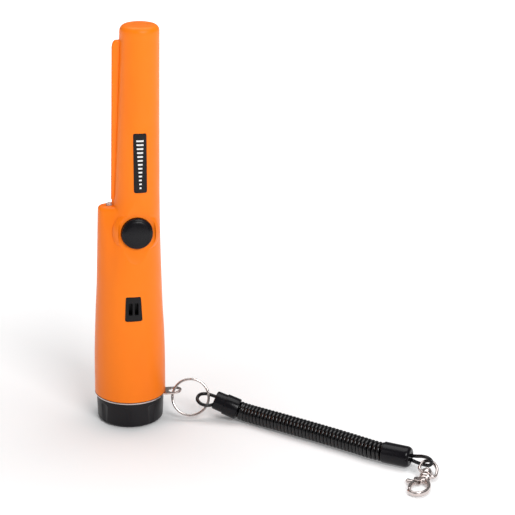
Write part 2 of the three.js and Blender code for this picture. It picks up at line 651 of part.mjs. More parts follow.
/** The battery, its snap connector and its two leads. */
function addBattery() {
  const w = BATTERY_WIDTH / 2;
  const d = BATTERY_DEPTH / 2;
  const can = roundedShape([[-w, -d], [w, -d], [w, d], [-w, d]], BATTERY_CORNER);
  const body = new THREE.ExtrudeGeometry(can, { depth: BATTERY_HEIGHT, bevelEnabled: false, curveSegments: 4 });
  body.translate(0, 0, BATTERY_LOW);
  addPiece('battery', body, 'battery');
  const low = BATTERY_TOP + GAP;
  const snap = solid(block([-w + 1, -d + 2, low + 1.6], [w - 1, d - 2, low + 4.2]))
    .add(solid(bar(3.9, low, low + 2.4, -6.35, 0, 20)))
    .add(solid(bar(3.1, low, low + 2.4, 6.35, 0, 20)));
  addPiece('battery_snap', skin(snap), 'rubber');
  const top = low + 4.2;
  const plugIn = BOARD_FOOT - 0.6;
  const boardY = BOARD_FRONT + BOARD_THICKNESS / 2;
  const red = [[-3, 3, top + 0.5], [-3.2, 2.8, top + 2.2], [-4.5, 0, plugIn - 2], [-5, boardY, plugIn]];
  const black = [[3, 3, top + 0.5], [2.8, 2.8, top + 2.2], [1, 0, plugIn - 2], [0, boardY, plugIn]];
  addPiece('red_lead', swept(route(red), LEAD_RADIUS, 8, 6), 'redWire');
  addPiece('black_lead', swept(route(black), LEAD_RADIUS, 8, 6), 'blackWire');
}

/** The circuit board and what is soldered to it. */
function addBoard() {
  const low = roundSection(BOARD_FOOT).x;
  const high = roundSection(BOARD_TOP).x;
  const right = roundSection(LEDGE_TOP).x + NECK_RADIUS - WALL - 2.2;
  const left = LAMP_X - 1.5;
  const shape = new THREE.Shape();
  shape.moveTo(low - 13, BOARD_FOOT);
  shape.lineTo(low + 13.4, BOARD_FOOT);
  shape.lineTo(right, BOARD_FOOT + 40);
  shape.lineTo(high + 8.2, BOARD_TOP);
  shape.lineTo(high - 8.5, BOARD_TOP);
  shape.lineTo(high - 8.5, LEDGE_TOP - 6);
  shape.lineTo(left, LEDGE_TOP - 9);
  shape.closePath();
  let board = solid(plateXZ(shape, BOARD_FRONT, BOARD_BACK));
  SCREW_PLACES.forEach(([x, z]) => {
    const hole = solid(bar(SCREW_RADIUS + GAP, -10, 10, 0, 0, 16)).rotate([90, 0, 0]);
    board = board.subtract(hole.translate([x, 0, z]));
  });
  addPiece('main_board', skin(board), 'board');

  SCREW_PLACES.forEach(([x, z], i) => {
    const head = 2;
    const end = -BOARD_BACK - SCREW_LENGTH;
    const seat = -BOARD_FRONT + GAP;
    const screw = turned([[0, end], [SCREW_RADIUS, end + 0.8], [SCREW_RADIUS, seat], [head, seat],
      [head, seat + 0.9], [head - 0.6, seat + 1.4], [0, seat + 1.4]], 16);
    screw.rotateX(Math.PI / 2);
    screw.translate(x, 0, z);
    addPiece(`board_screw_${i + 1}`, screw, 'steel');
  });

  const face = BOARD_FRONT - GAP;
  const chipX = roundSection(100).x;
  addPiece('controller_chip', block([chipX - 5, face - 1.3, 92], [chipX + 5, face, 102]), 'chip');
  [[-7.5, 96], [-5.6, 106]].forEach(([x, z], i) => {
    const can = bar(2.5, 0, 5.4, 0, 0, 20);
    can.rotateX(Math.PI / 2);
    can.translate(x, face, z);
    addPiece(`capacitor_${i + 1}`, can, 'steel');
  });
  const grilleBack = frontSkin(GRILLE_LOW + GRILLE_HEIGHT / 2, GRILLE_SHIFT) + WALL + 2.9;
  const sounder = bar(6, -face, -grilleBack - GAP, 0, 0, 28);
  sounder.rotateX(Math.PI / 2);
  sounder.translate(GRILLE_SHIFT + 0.3, 0, GRILLE_LOW + GRILLE_HEIGHT / 2 + 1.5);
  addPiece('sounder', sounder, 'blackPlastic');
}

/** The tact switch's stack: its body, its plunger and the button above them. */
function addButton() {
  const skinDepth = -buttonFrame.elements[13];
  const switchTop = 8.4;           // distance from the skin down to the plunger's face
  const floor = (skinDepth + BOARD_FRONT) / Math.cos(BUTTON_TILT_RAD) - 0.9;
  const bodyTop = -switchTop - 1.1;
  const body = solid(block([-3, -3, -floor], [3, 3, bodyTop]))
    .subtract(solid(bar(1.75 + GAP, bodyTop - 1.9, bodyTop + 1, 0, 0, 20)));
  addPiece('tact_switch', atButton(skin(body)), 'chip');
  addPiece('switch_plunger', atButton(bar(1.75, bodyTop - 0.9, -switchTop, 0, 0, 20)), 'bobbin');

  const skirt = BUTTON_RADIUS;
  const flange = skirt + 0.9;
  const dome = steps(0, 1, 4).map((t) => [
    (skirt - 0.5) * Math.cos(t * Math.PI / 2), 0.35 + (BUTTON_DOME - 0.35) * Math.sin(t * Math.PI / 2)]);
  const stem = -switchTop + GAP;
  const rim = BUTTON_RIM - GAP;
  const outline = [[0, stem], [2.6, stem], [2.6, BUTTON_POCKET], [flange, BUTTON_POCKET],
    [flange, rim], [skirt, rim], [skirt, 0], ...dome.slice(0, -1), [0, BUTTON_DOME]];
  addPiece('power_button', atButton(turned(outline)), 'rubber');
}

/** The label plate and the slotted speaker window. */
function addFrontTrim() {
  const shell = (proud, inset) => housingForm(-proud, HOUSING_FOOT, HOUSING_SIDES, HOUSING_RINGS)
    .subtract(housingForm(inset, HOUSING_FOOT - 1, HOUSING_SIDES, HOUSING_RINGS));
  const label = solid(plateXZ(labelShape(0), PAST_FRONT, LABEL_BACK))
    .intersect(shell(LABEL_PROUD, LABEL_DEPTH));
  addPiece('label_plate', skin(label), 'label');

  const middle = GRILLE_LOW + GRILLE_HEIGHT / 2;
  const layer = (offset, proud, inset) => solid(plateXZ(grilleShape(offset), PAST_FRONT, GRILLE_BACK))
    .intersect(shell(proud, inset));
  const plug = layer(0, -0.25, WALL + 0.2);
  const stem = layer(-0.3, -1, WALL + 1.2);
  const flange = layer(1.2, -WALL - GAP, WALL + 1.2);
  let grille = plug.add(stem).add(flange);
  [-0.5, 0.5].forEach((side) => {
    const x = GRILLE_SHIFT + side * SLOT_SPACING;
    const w = SLOT_WIDTH / 2 - 0.15;
    const h = SLOT_HEIGHT / 2;
    const corners = [[x - w, middle - h], [x + w, middle - h], [x + w, middle + h], [x - w, middle + h]];
    const slot = roundedShape(corners, 0.4);
    grille = grille.subtract(solid(plateXZ(slot, PAST_FRONT - 1, GRILLE_BACK + 1, 2)));
  });
  addPiece('speaker_grille', skin(grille), 'blackPlastic');
}

/** The lamp on the ledge: a clear domed lens over a small emitter with two leads. */
function addLamp() {
  const under = LEDGE_TOP - WALL - GAP - 0.7;
  const top = LEDGE_TOP + LAMP_PROUD;
  const dome = steps(0, 1, 4).map((t) => [
    LAMP_RADIUS * Math.cos(t * Math.PI / 2), top - LAMP_RADIUS * (1 - Math.sin(t * Math.PI / 2))]);
  const rim = LAMP_RADIUS + 0.4;
  const lens = turned([[0, under - 1.2], [rim, under - 1.2], [rim, under], [LAMP_RADIUS, under],
    ...dome.slice(0, -1), [0, top]], 24);
  lens.translate(LAMP_X, 0, 0);
  addPiece('lamp_lens', lens, 'lens');
  const low = under - 1.2 - GAP - 1.6;
  addPiece('lamp_emitter', block([LAMP_X - 1.5, -1.4, low], [LAMP_X + 1.5, 1.4, low + 1.6]), 'bobbin');
  const boardY = BOARD_FRONT + BOARD_THICKNESS + GAP + 0.4;
  [-0.9, 0.9].forEach((side, i) => {
    const x = LAMP_X + side;
    const points = [[x, 0, low - GAP], [x + 0.5, 0.2, low - 2.4], [x + 1.6, boardY, low - 6]];
    addPiece(`lamp_lead_${i + 1}`, swept(route(points), LAMP_LEAD_RADIUS, 6, 6), 'steel');
  });
}

/** The search coil in the tip: a ferrite rod, a bobbin, two windings and a foam pad. */
function addSearchCoil() {
  const low = SEAT_RIB_HEIGHT + SEAT_RIB_THICKNESS + GAP;
  const padTop = PROBE_LENGTH - WALL - 0.8;
  const high = padTop - TIP_PAD_THICKNESS - GAP;
  const x = (roundSection(low).x + roundSection(high).x) / 2;
  const middle = (low + high) / 2;
  const bore = ROD_RADIUS + GAP;
  const core = bore + BOBBIN_WALL;
  const flange = BOBBIN_FLANGE;
  const section = [[bore, low], [flange, low], [flange, low + 1.5], [core, low + 1.5], [core, middle - 1.5],
    [flange, middle - 1.5], [flange, middle + 1.5], [core, middle + 1.5], [core, high - 1.5],
    [flange, high - 1.5], [flange, high], [bore, high]];
  addPiece('coil_bobbin', turnedRing(section, 24).translate(x, 0, 0), 'bobbin');
  addPiece('ferrite_rod', bar(ROD_RADIUS, low, high, x, 0, 24), 'ferrite');
  const windings = { receive_winding: [low + 1.5, middle - 1.5], transmit_winding: [middle + 1.5, high - 1.5] };
  Object.entries(windings).forEach(([name, [from, to]]) => {
    const inner = core + GAP;
    const outer = flange - 0.9;
    const wound = [[inner, from + GAP], [outer, from + GAP], [outer, to - GAP], [inner, to - GAP]];
    addPiece(name, turnedRing(wound, 24).translate(x, 0, 0), 'copper');
  });
  const padRadius = TIP_RADIUS - WALL - TIP_EDGE + 0.8;
  addPiece('tip_pad', bar(padRadius, high + GAP, padTop, roundSection(high).x, 0, 24), 'foam');
  const boardX = roundSection(BOARD_TOP).x;
  const boardY = BOARD_FRONT + BOARD_THICKNESS / 2;
  [-1.6, 1.6].forEach((side, i) => {
    const points = [[x + side, 0, low - GAP], [x + side, 0, low - 5],
      [boardX + side * 2, boardY, BOARD_TOP + 4], [boardX + side * 2, boardY, BOARD_TOP + GAP]];
    addPiece(`coil_lead_${i + 1}`, swept(route(points), FINE_LEAD_RADIUS, 10, 6), 'copper');
  });
}

/** The vibration motor and the off-centre weight on its shaft. */
function addMotor() {
  const high = MOTOR_FOOT + MOTOR_LENGTH;
  const can = solid(bar(MOTOR_RADIUS, MOTOR_FOOT, high, motorX, MOTOR_Y, 28))
    .subtract(solid(bar(1, high - 4, high + 1, motorX, MOTOR_Y, 16)));
  addPiece('vibration_motor', skin(can), 'steel');
  const half = new THREE.Shape();
  half.absarc(0, 0, MOTOR_RADIUS - 0.6, 0, Math.PI, false);
  half.closePath();
  const weight = new THREE.ExtrudeGeometry(half, { depth: 4, bevelEnabled: false, curveSegments: 12 });
  weight.translate(motorX, MOTOR_Y, high + 1);
  const shaft = solid(bar(0.6, high - 3, high + 5, motorX, MOTOR_Y, 16));
  const hub = solid(bar(1.6, high + 1, high + 5, motorX, MOTOR_Y, 16));
  addPiece('motor_weight', skin(solid(weight).add(shaft).add(hub)), 'steel');
}

/** A turned piece made about +Z, laid from one point towards another. */
function alongLine(geometry, from, to) {
  const start = new THREE.Vector3(...from);
  const way = new THREE.Vector3(...to).sub(start).normalize();
  const turn = new THREE.Quaternion().setFromUnitVectors(new THREE.Vector3(0, 0, 1), way);
  geometry.applyQuaternion(turn);
  geometry.translate(start.x, start.y, start.z);
  return geometry;
}

/** The split ring: two flat turns of wire about its own axis. */
function addSplitRing() {
  const rise = RING_WIRE + GAP;
  const coil = new ThreadCurve(RING_RADIUS, -rise, rise, 1.94, 0.03);
  const ring = swept(coil, RING_WIRE / 2, 56, 6);
  ring.rotateZ(Math.PI / 2);
  const normal = new THREE.Vector3(...RING_NORMAL).normalize();
  ring.applyQuaternion(new THREE.Quaternion().setFromUnitVectors(new THREE.Vector3(0, 0, 1), normal));
  const turn = THREE.MathUtils.degToRad(TAB_ANGLE);
  const x = EYE_REACH * Math.cos(turn) + RING_FROM_EYE[0];
  const y = EYE_REACH * Math.sin(turn) + RING_FROM_EYE[1];
  ring.translate(x, y, RING_HEIGHT);
  addPiece('split_ring', ring, 'nickel');
}

/** A cord bight from a ferrule's mouth out to its tip and back. */
function bight([mouth, inside], tip, side, half) {
  const start = new THREE.Vector3(...mouth);
  const out = start.clone().sub(new THREE.Vector3(...inside)).normalize();
  const across = new THREE.Vector3(...side).normalize().multiplyScalar(half);
  const along = new THREE.Vector3(...tip).sub(start);
  const square = across.clone().addScaledVector(out, -across.dot(out));
  const root = (width, rise) => start.clone().addScaledVector(out, rise).addScaledVector(square, width);
  const place = ([share, width]) => start.clone().addScaledVector(along, share).addScaledVector(across, width);
  const outline = [[0.31, 0.8], [0.58, 1], [0.84, 0.7], [1, 0], [0.84, -0.7], [0.58, -1], [0.31, -0.8]];
  const points = [root(0.6, GAP), root(0.62, 2.1), ...outline.map(place), root(-0.62, 2.1), root(-0.6, GAP)];
  return new THREE.CatmullRomCurve3(points, false, 'centripetal');
}

/** Length of the straight line between two points. */
function span(from, to) {
  return new THREE.Vector3(...from).distanceTo(new THREE.Vector3(...to));
}

/** The coiled cord, its two end ferrules and their cord loops. */
function addLanyardCord() {
  const radius = FERRULE_DIAMETER / 2;
  const nearLength = span(...FERRULE_NEAR);
  const near = turned([[0, 0], [radius - 1.4, 0], [radius - 0.6, 0.8], [radius - 0.6, 6.4], [radius, 7],
    [radius, nearLength - 0.6], [radius - 0.6, nearLength], [0, nearLength]], 28);
  addPiece('ferrule_near', alongLine(near, ...FERRULE_NEAR), 'rubber');
  const farLength = span(...FERRULE_FAR);
  const far = turned([[0, 0], [radius - 0.7, 0], [radius - 0.2, 0.6], [radius - 0.2, farLength - 2.6],
    [radius - 1.5, farLength - 0.4], [radius - 2, farLength], [0, farLength]], 28);
  addPiece('ferrule_far', alongLine(far, ...FERRULE_FAR), 'rubber');
  addPiece('coil_cord', swept(route(COIL_ROUTE), COIL_DIAMETER / 2, 24, 12), 'cord');
  const nearBight = bight(FERRULE_NEAR, NEAR_LOOP_TIP, NEAR_LOOP_SIDE, NEAR_LOOP_HALF);
  addPiece('cord_loop_near', swept(nearBight, CORD_DIAMETER / 2, 22, 8), 'cord');
  addPiece('cord_loop_far', swept(route(FAR_LOOP_ROUTE), CORD_DIAMETER / 2, 22, 8), 'cord');
}


/** The swivel clasp. In its own frame +X runs from the eye to the hook's end. */
function addClasp() {
  const clasp = new THREE.Group();
  clasp.position.set(CLASP_EYE[0], CLASP_EYE[1], CLASP_HEIGHT);
  clasp.rotation.z = THREE.MathUtils.degToRad(CLASP_TURN);
  probe.add(clasp);
  const lift = CLASP_EYE[2] - CLASP_HEIGHT;

  const half = CLASP_WIDTH / 2;
  const wire = 1.7;
  const ringMiddle = CLASP_LENGTH - 9;
  const postRadius = 1.3;

  const outer = new THREE.Shape();
  outer.moveTo(3.4, -2.4);
  outer.bezierCurveTo(6, -3.6, 8, -half, ringMiddle, -half);
  outer.bezierCurveTo(ringMiddle + 5, -half, CLASP_LENGTH, -4, CLASP_LENGTH, 0);
  outer.bezierCurveTo(CLASP_LENGTH, 4, ringMiddle + 5, half, ringMiddle, half);
  outer.bezierCurveTo(8, half, 6, 3.6, 3.4, 2.4);
  outer.closePath();
  const gap = new THREE.Path();
  const inner = half - 2;
  gap.moveTo(9, 0);
  gap.bezierCurveTo(9, -3, 10.5, -inner, ringMiddle, -inner);
  gap.bezierCurveTo(ringMiddle + 4, -inner, CLASP_LENGTH - 2.2, -3, CLASP_LENGTH - 2.2, 0);
  gap.bezierCurveTo(CLASP_LENGTH - 2.2, 3, ringMiddle + 4, inner, ringMiddle, inner);
  gap.bezierCurveTo(10.5, inner, 9, 3, 9, 0);
  outer.holes.push(gap);
  const frame = solid(bevelledPlate(outer, CLASP_THICKNESS, 0.7));

  // The gate takes up the hook's side towards -Y, from a pivot beside the neck to the nose.
  const gateZone = new THREE.Shape();
  gateZone.moveTo(5.6, -0.9);
  gateZone.lineTo(9.4, -0.9);
  gateZone.lineTo(ringMiddle, -inner + 0.9);
  gateZone.lineTo(CLASP_LENGTH - 3.6, -3);
  gateZone.lineTo(CLASP_LENGTH - 4.9, -half - 2);
  gateZone.lineTo(4.6, -half - 2);
  gateZone.closePath();
  const plane = CLASP_THICKNESS / 2;
  const atPivot = (radius, low, high) => solid(bar(radius, low, high, 7.2, -3.1, 24));
  const pinHole = atPivot(PIN_RADIUS + GAP, -5, 5);
  const cheekRadius = 2.3;
  const leafHalf = 0.65;
  const slotHalf = leafHalf + GAP;
  const cheek = atPivot(cheekRadius, -plane, plane);
  const slot = atPivot(cheekRadius + RUNNING_GAP, -slotHalf, slotHalf)
    .add(solid(bar(3.4, -slotHalf, slotHalf, 8.4, -3.7, 24))
      .intersect(solid(block([6.2, -half - 3, -slotHalf], [CLASP_LENGTH - 5, 0, slotHalf]))));
  const onPost = (geometry) => solid(alongLine(geometry, [0, 0, lift], [4.4, 0, 0]));
  const head = postRadius + 0.8;
  const post = onPost(turned([[0, -3.2], [head - 0.2, -3.2], [head, -2.7], [head - 0.2, -2.1],
    [postRadius, -2.1], [postRadius, 4.2], [0, 4.2]], 20));
  const hook = frame.subtract(solid(bevelledPlate(gateZone, 8, 0)));
  addPiece('clasp_body', skin(hook.add(cheek).subtract(slot).subtract(pinHole).add(post)), 'nickel', clasp);

  const trimmed = solid(bevelledPlate(shrunkGate(gateZone), CLASP_THICKNESS + 2, 0));
  const leaf = atPivot(cheekRadius - 0.1, -leafHalf, leafHalf);
  const aroundCheek = cheekRadius + GAP;
  const clearance = atPivot(aroundCheek, leafHalf, 3).add(atPivot(aroundCheek, -3, -leafHalf));
  const lever = new THREE.Shape();
  lever.moveTo(7.6, -half + 2.4);
  lever.lineTo(10.4, -half + 1.2);
  lever.lineTo(10.2, -half - 2.4);
  lever.quadraticCurveTo(9, -half - 3.4, 7.8, -half - 2.4);
  lever.closePath();
  const thumb = solid(bevelledPlate(lever, 2.6, 0.5));
  const gate = frame.intersect(trimmed).add(thumb).subtract(clearance).add(leaf).subtract(pinHole);
  addPiece('clasp_gate', skin(gate), 'nickel', clasp);
  addPiece('gate_pin', skin(atPivot(PIN_RADIUS, -plane - 0.1, plane + 0.1)), 'steel', clasp);

  // The swivel eye: a D-shaped loop whose bar turns on the post.
  const eye = new THREE.Shape();
  const eyeHalf = 5.8;
  const eyeLength = 11;
  eye.moveTo(1.3, -eyeHalf + 0.8);
  eye.lineTo(1.3, eyeHalf - 0.8);
  eye.quadraticCurveTo(1.3, eyeHalf, 0, eyeHalf);
  eye.bezierCurveTo(-4, eyeHalf, -eyeLength, 4.6, -eyeLength, 0);
  eye.bezierCurveTo(-eyeLength, -4.6, -4, -eyeHalf, 0, -eyeHalf);
  eye.quadraticCurveTo(1.3, -eyeHalf, 1.3, -eyeHalf + 0.8);
  const opening = new THREE.Path();
  opening.moveTo(-1.3, -eyeHalf + wire);
  opening.bezierCurveTo(-4, -eyeHalf + wire, -eyeLength + wire, -3.4, -eyeLength + wire, 0);
  opening.bezierCurveTo(-eyeLength + wire, 3.4, -4, eyeHalf - wire, -1.3, eyeHalf - wire);
  opening.closePath();
  eye.holes.push(opening);
  const eyePlate = bevelledPlate(eye, 2.2, 0.5);
  eyePlate.rotateX(THREE.MathUtils.degToRad(EYE_TILT));
  eyePlate.rotateY(THREE.MathUtils.degToRad(EYE_RISE));
  eyePlate.translate(0, 0, lift);
  const hole = onPost(bar(postRadius + GAP, -6, 6, 0, 0, 20));
  const bulge = onPost(bar(2.6, -1.3, 1.3, 0, 0, 20));
  addPiece('swivel_eye', skin(solid(eyePlate).add(bulge).subtract(hole)), 'nickel', clasp);
}

/** The gate's zone drawn in by a gap, so that the gate swings clear of the body. */
function shrunkGate(zone) {
  const centre = new THREE.Vector2(12, -4.5);
  const points = zone.getPoints(2).map((point) => {
    const out = point.clone().sub(centre);
    return out.setLength(Math.max(out.length() - 0.45, 0.1)).add(centre);
  });
  return new THREE.Shape(points);
}

addShells();
addBatteryCap();
addSealAndWasher();
addBattery();
addBoard();
addButton();
addFrontTrim();
addLamp();
addSearchCoil();
addMotor();
addSplitRing();
addLanyardCord();
addClasp();

export default probe;
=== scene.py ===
"""Looks for a handheld pinpointer probe: housing, cap, ring, coiled lanyard and clasp.

Every size is in millimetres until a mesh is finished, when it is scaled to metres. The probe
stands on its cap: +Z runs up it, -Y out of the button and -X to the blade.
"""
import logging
import math
from dataclasses import dataclass, field
from enum import Enum
from typing import Any, Callable, Iterable, Sequence

import bmesh
import bpy
from mathutils import Matrix, Vector


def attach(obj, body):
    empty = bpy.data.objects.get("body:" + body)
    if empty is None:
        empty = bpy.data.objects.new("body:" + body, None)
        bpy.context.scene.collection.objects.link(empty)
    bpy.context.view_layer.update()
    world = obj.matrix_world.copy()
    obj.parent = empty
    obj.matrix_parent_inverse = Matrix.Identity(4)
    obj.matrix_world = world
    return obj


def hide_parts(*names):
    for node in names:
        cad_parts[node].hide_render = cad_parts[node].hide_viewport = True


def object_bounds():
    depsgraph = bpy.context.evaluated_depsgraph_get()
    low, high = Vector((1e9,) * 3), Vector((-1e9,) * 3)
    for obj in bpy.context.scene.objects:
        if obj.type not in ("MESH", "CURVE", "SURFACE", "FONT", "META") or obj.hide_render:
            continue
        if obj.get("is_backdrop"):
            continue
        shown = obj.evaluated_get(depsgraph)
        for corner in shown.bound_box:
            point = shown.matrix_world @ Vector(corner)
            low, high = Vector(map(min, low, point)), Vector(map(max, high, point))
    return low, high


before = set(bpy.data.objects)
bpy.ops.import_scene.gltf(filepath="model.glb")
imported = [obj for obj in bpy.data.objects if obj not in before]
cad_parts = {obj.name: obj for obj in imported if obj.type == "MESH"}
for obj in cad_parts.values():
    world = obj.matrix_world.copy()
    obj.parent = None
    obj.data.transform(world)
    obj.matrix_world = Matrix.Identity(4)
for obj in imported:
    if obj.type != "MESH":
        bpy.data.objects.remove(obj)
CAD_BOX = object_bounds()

log = logging.getLogger("probe")

MM = 0.001
PER_METRE = 1000
UP = Vector((0, 0, 1))
FACING = Matrix.Rotation(math.pi / 2, 4, "X")
Point = Sequence[float]
Colour = tuple[float, float, float]


# ---------------------------------------------------------------- material building


class Wire:
    """A value in a material's nodes that works with Python's operators."""

    def __init__(self, bench: "Bench", socket: Any) -> None:
        """Keeps the bench that adds nodes and the socket that holds the value."""
        self.bench = bench
        self.socket = socket

    def math(self, operation: str, *values: Any) -> "Wire":
        """Adds a Math node.

        Args:
            operation: Blender's name of the operation.
            values: the node's inputs in order, wires or numbers.

        Returns:
            The node's result.
        """
        return self.bench.node("ShaderNodeMath", {"operation": operation}, dict(enumerate(values)))

    def __add__(self, other: Any) -> "Wire":
        """self + other."""
        return self.math("ADD", self, other)

    def __radd__(self, other: Any) -> "Wire":
        """other + self."""
        return self.math("ADD", other, self)

    def __sub__(self, other: Any) -> "Wire":
        """self - other."""
        return self.math("SUBTRACT", self, other)

    def __rsub__(self, other: Any) -> "Wire":
        """other - self."""
        return self.math("SUBTRACT", other, self)

    def __mul__(self, other: Any) -> "Wire":
        """self * other."""
        return self.math("MULTIPLY", self, other)

    def __rmul__(self, other: Any) -> "Wire":
        """other * self."""
        return self.math("MULTIPLY", other, self)

    def __truediv__(self, other: Any) -> "Wire":
        """self / other."""
        return self.math("DIVIDE", self, other)

    def __lt__(self, other: Any) -> "Wire":
        """1 where self is less than other, and 0 elsewhere."""
        return self.math("LESS_THAN", self, other)

    def __gt__(self, other: Any) -> "Wire":
        """1 where self is more than other, and 0 elsewhere."""
        return self.math("GREATER_THAN", self, other)

    def __abs__(self) -> "Wire":
        """The size of self without its sign."""
        return self.math("ABSOLUTE", self)


class Bench:
    """Builds one node material."""

    def __init__(self, name: str) -> None:
        """Starts an empty material of the given name.

        Args:
            name: the material's name.
        """
        self.material = bpy.data.materials.new(name)
        self.material.use_nodes = True
        self.tree = self.material.node_tree
        self.tree.nodes.clear()

    def node(self, kind: str, settings: dict[str, Any] | None = None,
             inputs: dict[Any, Any] | None = None, output: Any = 0) -> Wire:
        """Adds any node, sets it up and joins its inputs.

        Args:
            kind: the node's type.
            settings: its properties, set first.
            inputs: values or wires by socket name or number.
            output: name or number of the output to return.

        Returns:
            The chosen output.
        """
        made = self.tree.nodes.new(kind)
        for name, value in (settings or {}).items():
            setattr(made, name, value)
        for name, value in (inputs or {}).items():
            socket = made.inputs[name]
            if isinstance(value, Wire):
                self.tree.links.new(value.socket, socket)
            else:
                socket.default_value = value
        return Wire(self, made.outputs[output] if len(made.outputs) else None)

    def place(self, stretch: Point = (1, 1, 1)) -> Wire:
        """Object coordinates in metres, stretched along the axes."""
        coordinates = self.node("ShaderNodeTexCoord", output="Object")
        return self.node("ShaderNodeMapping", {}, {"Vector": coordinates, "Scale": tuple(stretch)})

    def along(self, axis: int) -> Wire:
        """How far along one of the object's axes, in metres."""
        coordinates = self.node("ShaderNodeTexCoord", output="Object")
        return self.node("ShaderNodeSeparateXYZ", {}, {"Vector": coordinates}, axis)

    def noise(self, scale: float, detail: float = 3.0, rough: float = 0.5,
              stretch: Point = (1, 1, 1)) -> Wire:
        """A noise value from 0 to 1 with this many features to a metre."""
        return self.node("ShaderNodeTexNoise", {}, {
            "Vector": self.place(stretch), "Scale": scale, "Detail": detail,
            "Roughness": rough}, "Fac")

    def blend(self, share: Any, first: Any, second: Any) -> Wire:
        """A colour that goes from the first to the second as share goes from 0 to 1."""
        return self.node("ShaderNodeMix", {"data_type": "RGBA", "clamp_factor": True}, {
            0: share, 6: (*first, 1), 7: (*second, 1)}, 2)

    def spread(self, value: Wire, low: float, high: float, to_low: float, to_high: float) -> Wire:
        """Maps a value's range to another, held inside it."""
        return self.node("ShaderNodeMapRange", {"clamp": True}, {
            "Value": value, "From Min": low, "From Max": high,
            "To Min": to_low, "To Max": to_high})

    def bump(self, height: Wire, strength: float, distance_mm: float) -> Wire:
        """A surface normal pushed about by a height."""
        return self.node("ShaderNodeBump", {}, {
            "Height": height, "Strength": strength, "Distance": distance_mm * MM})

    def finish(self, **inputs: Any) -> bpy.types.Material:
        """Joins a Principled surface to the output.

        Args:
            inputs: the surface's sockets, with underscores for spaces.

        Returns:
            The material.
        """
        named = {name.replace("_", " "): value for name, value in inputs.items()}
        surface = self.node("ShaderNodeBsdfPrincipled", {}, named)
        self.node("ShaderNodeOutputMaterial", {}, {"Surface": surface})
        return self.material


@dataclass(frozen=True)
class MouldedPlastic:
    """Moulded plastic with a fine spark-eroded grain and slight flow marks."""

    name: str
    colour: Colour
    shade: Colour
    roughness: float = 0.34
    grain: float = 0.12
    gloss: float = 0.5
    flow_scale: float = 38
    sheen_scale: float = 120
    grain_scale: float = 2600
    pit_scale: float = 700
    grain_depth: float = 0.06

    def material(self) -> bpy.types.Material:
        """Returns the node material."""
        bench = Bench(self.name)
        flow = bench.noise(self.flow_scale, 4, 0.55, (1, 1, 0.45))
        fine = bench.noise(self.grain_scale, 2, 0.6)
        base = bench.blend(bench.spread(flow, 0.32, 0.68, 0, 1), self.colour, self.shade)
        rough = bench.spread(bench.noise(self.sheen_scale, 5, 0.6), 0.3, 0.7,
                             self.roughness - 0.04, self.roughness + 0.06)
        height = fine * 0.8 + bench.noise(self.pit_scale, 2) * 0.2
        return bench.finish(Base_Color=base, Roughness=rough + fine * 0.04,
                            Specular_IOR_Level=self.gloss,
                            Normal=bench.bump(height, self.grain, self.grain_depth))


@dataclass(frozen=True)
class MouldedRubber:
    """Smooth black elastomer with a faint bloom and dust in its texture."""

    name: str
    colour: Colour = (0.004, 0.0035, 0.005)
    bloom: Colour = (0.008, 0.007, 0.010)
    roughness: float = 0.42
    grain: float = 0.2
    gloss: float = 0.2
    bloom_scale: float = 90
    grain_scale: float = 3200
    grain_depth: float = 0.05

    def material(self) -> bpy.types.Material:
        """Returns the node material."""
        bench = Bench(self.name)
        cloud = bench.noise(self.bloom_scale, 5, 0.62)
        fine = bench.noise(self.grain_scale, 2, 0.5)
        base = bench.blend(bench.spread(cloud, 0.45, 0.75, 0, 0.7), self.colour, self.bloom)
        rough = bench.spread(cloud, 0.3, 0.7, self.roughness - 0.03, self.roughness + 0.06)
        return bench.finish(Base_Color=base, Roughness=rough, Specular_IOR_Level=self.gloss,
                            Normal=bench.bump(fine, self.grain, self.grain_depth))


@dataclass(frozen=True)
class PlatedMetal:
    """Bright plating: fine drawn scratches, a little tarnish and soft waviness."""

    name: str
    colour: Colour = (0.62, 0.55, 0.53)
    tarnish: Colour = (0.36, 0.28, 0.25)
    roughness: float = 0.16
    scratches: float = 0.10
    along: Point = (1, 1, 1)
    tarnish_scale: float = 240
    scratch_scale: float = 1500
    scratch_depth: float = 0.05

    def material(self) -> bpy.types.Material:
        """Returns the node material."""
        bench = Bench(self.name)
        cloud = bench.noise(self.tarnish_scale, 5, 0.6)
        lines = bench.noise(self.scratch_scale, 3, 0.6, self.along)
        base = bench.blend(bench.spread(cloud, 0.52, 0.8, 0, 0.8), self.colour, self.tarnish)
        rough = bench.spread(cloud, 0.3, 0.75, self.roughness - 0.04, self.roughness + 0.14)
        return bench.finish(Base_Color=base, Roughness=rough + lines * 0.06, Metallic=1.0,
                            Normal=bench.bump(lines + cloud * 0.5, self.scratches,
                                              self.scratch_depth))


@dataclass(frozen=True)
class CordJacket:
    """Extruded glossy jacket of the coiled cord, with drag marks and a little lint."""

    name: str
    colour: Colour = (0.003, 0.0028, 0.0035)
    dust: Colour = (0.02, 0.019, 0.021)
    roughness: float = 0.14
    gloss: float = 0.4
    mark_scale: float = 420
    lint_scale: float = 2600
    mark_depth: float = 0.08

    def material(self) -> bpy.types.Material:
        """Returns the node material."""
        bench = Bench(self.name)
        marks = bench.noise(self.mark_scale, 4, 0.6)
        lint = bench.spread(bench.noise(self.lint_scale, 2), 0.66, 0.74, 0, 0.5)
        base = bench.blend(lint, self.colour, self.dust)
        rough = bench.spread(marks, 0.3, 0.7, self.roughness - 0.05, self.roughness + 0.1)
        return bench.finish(Base_Color=base, Roughness=rough, Specular_IOR_Level=self.gloss,
                            Normal=bench.bump(marks, 0.15, self.mark_depth))


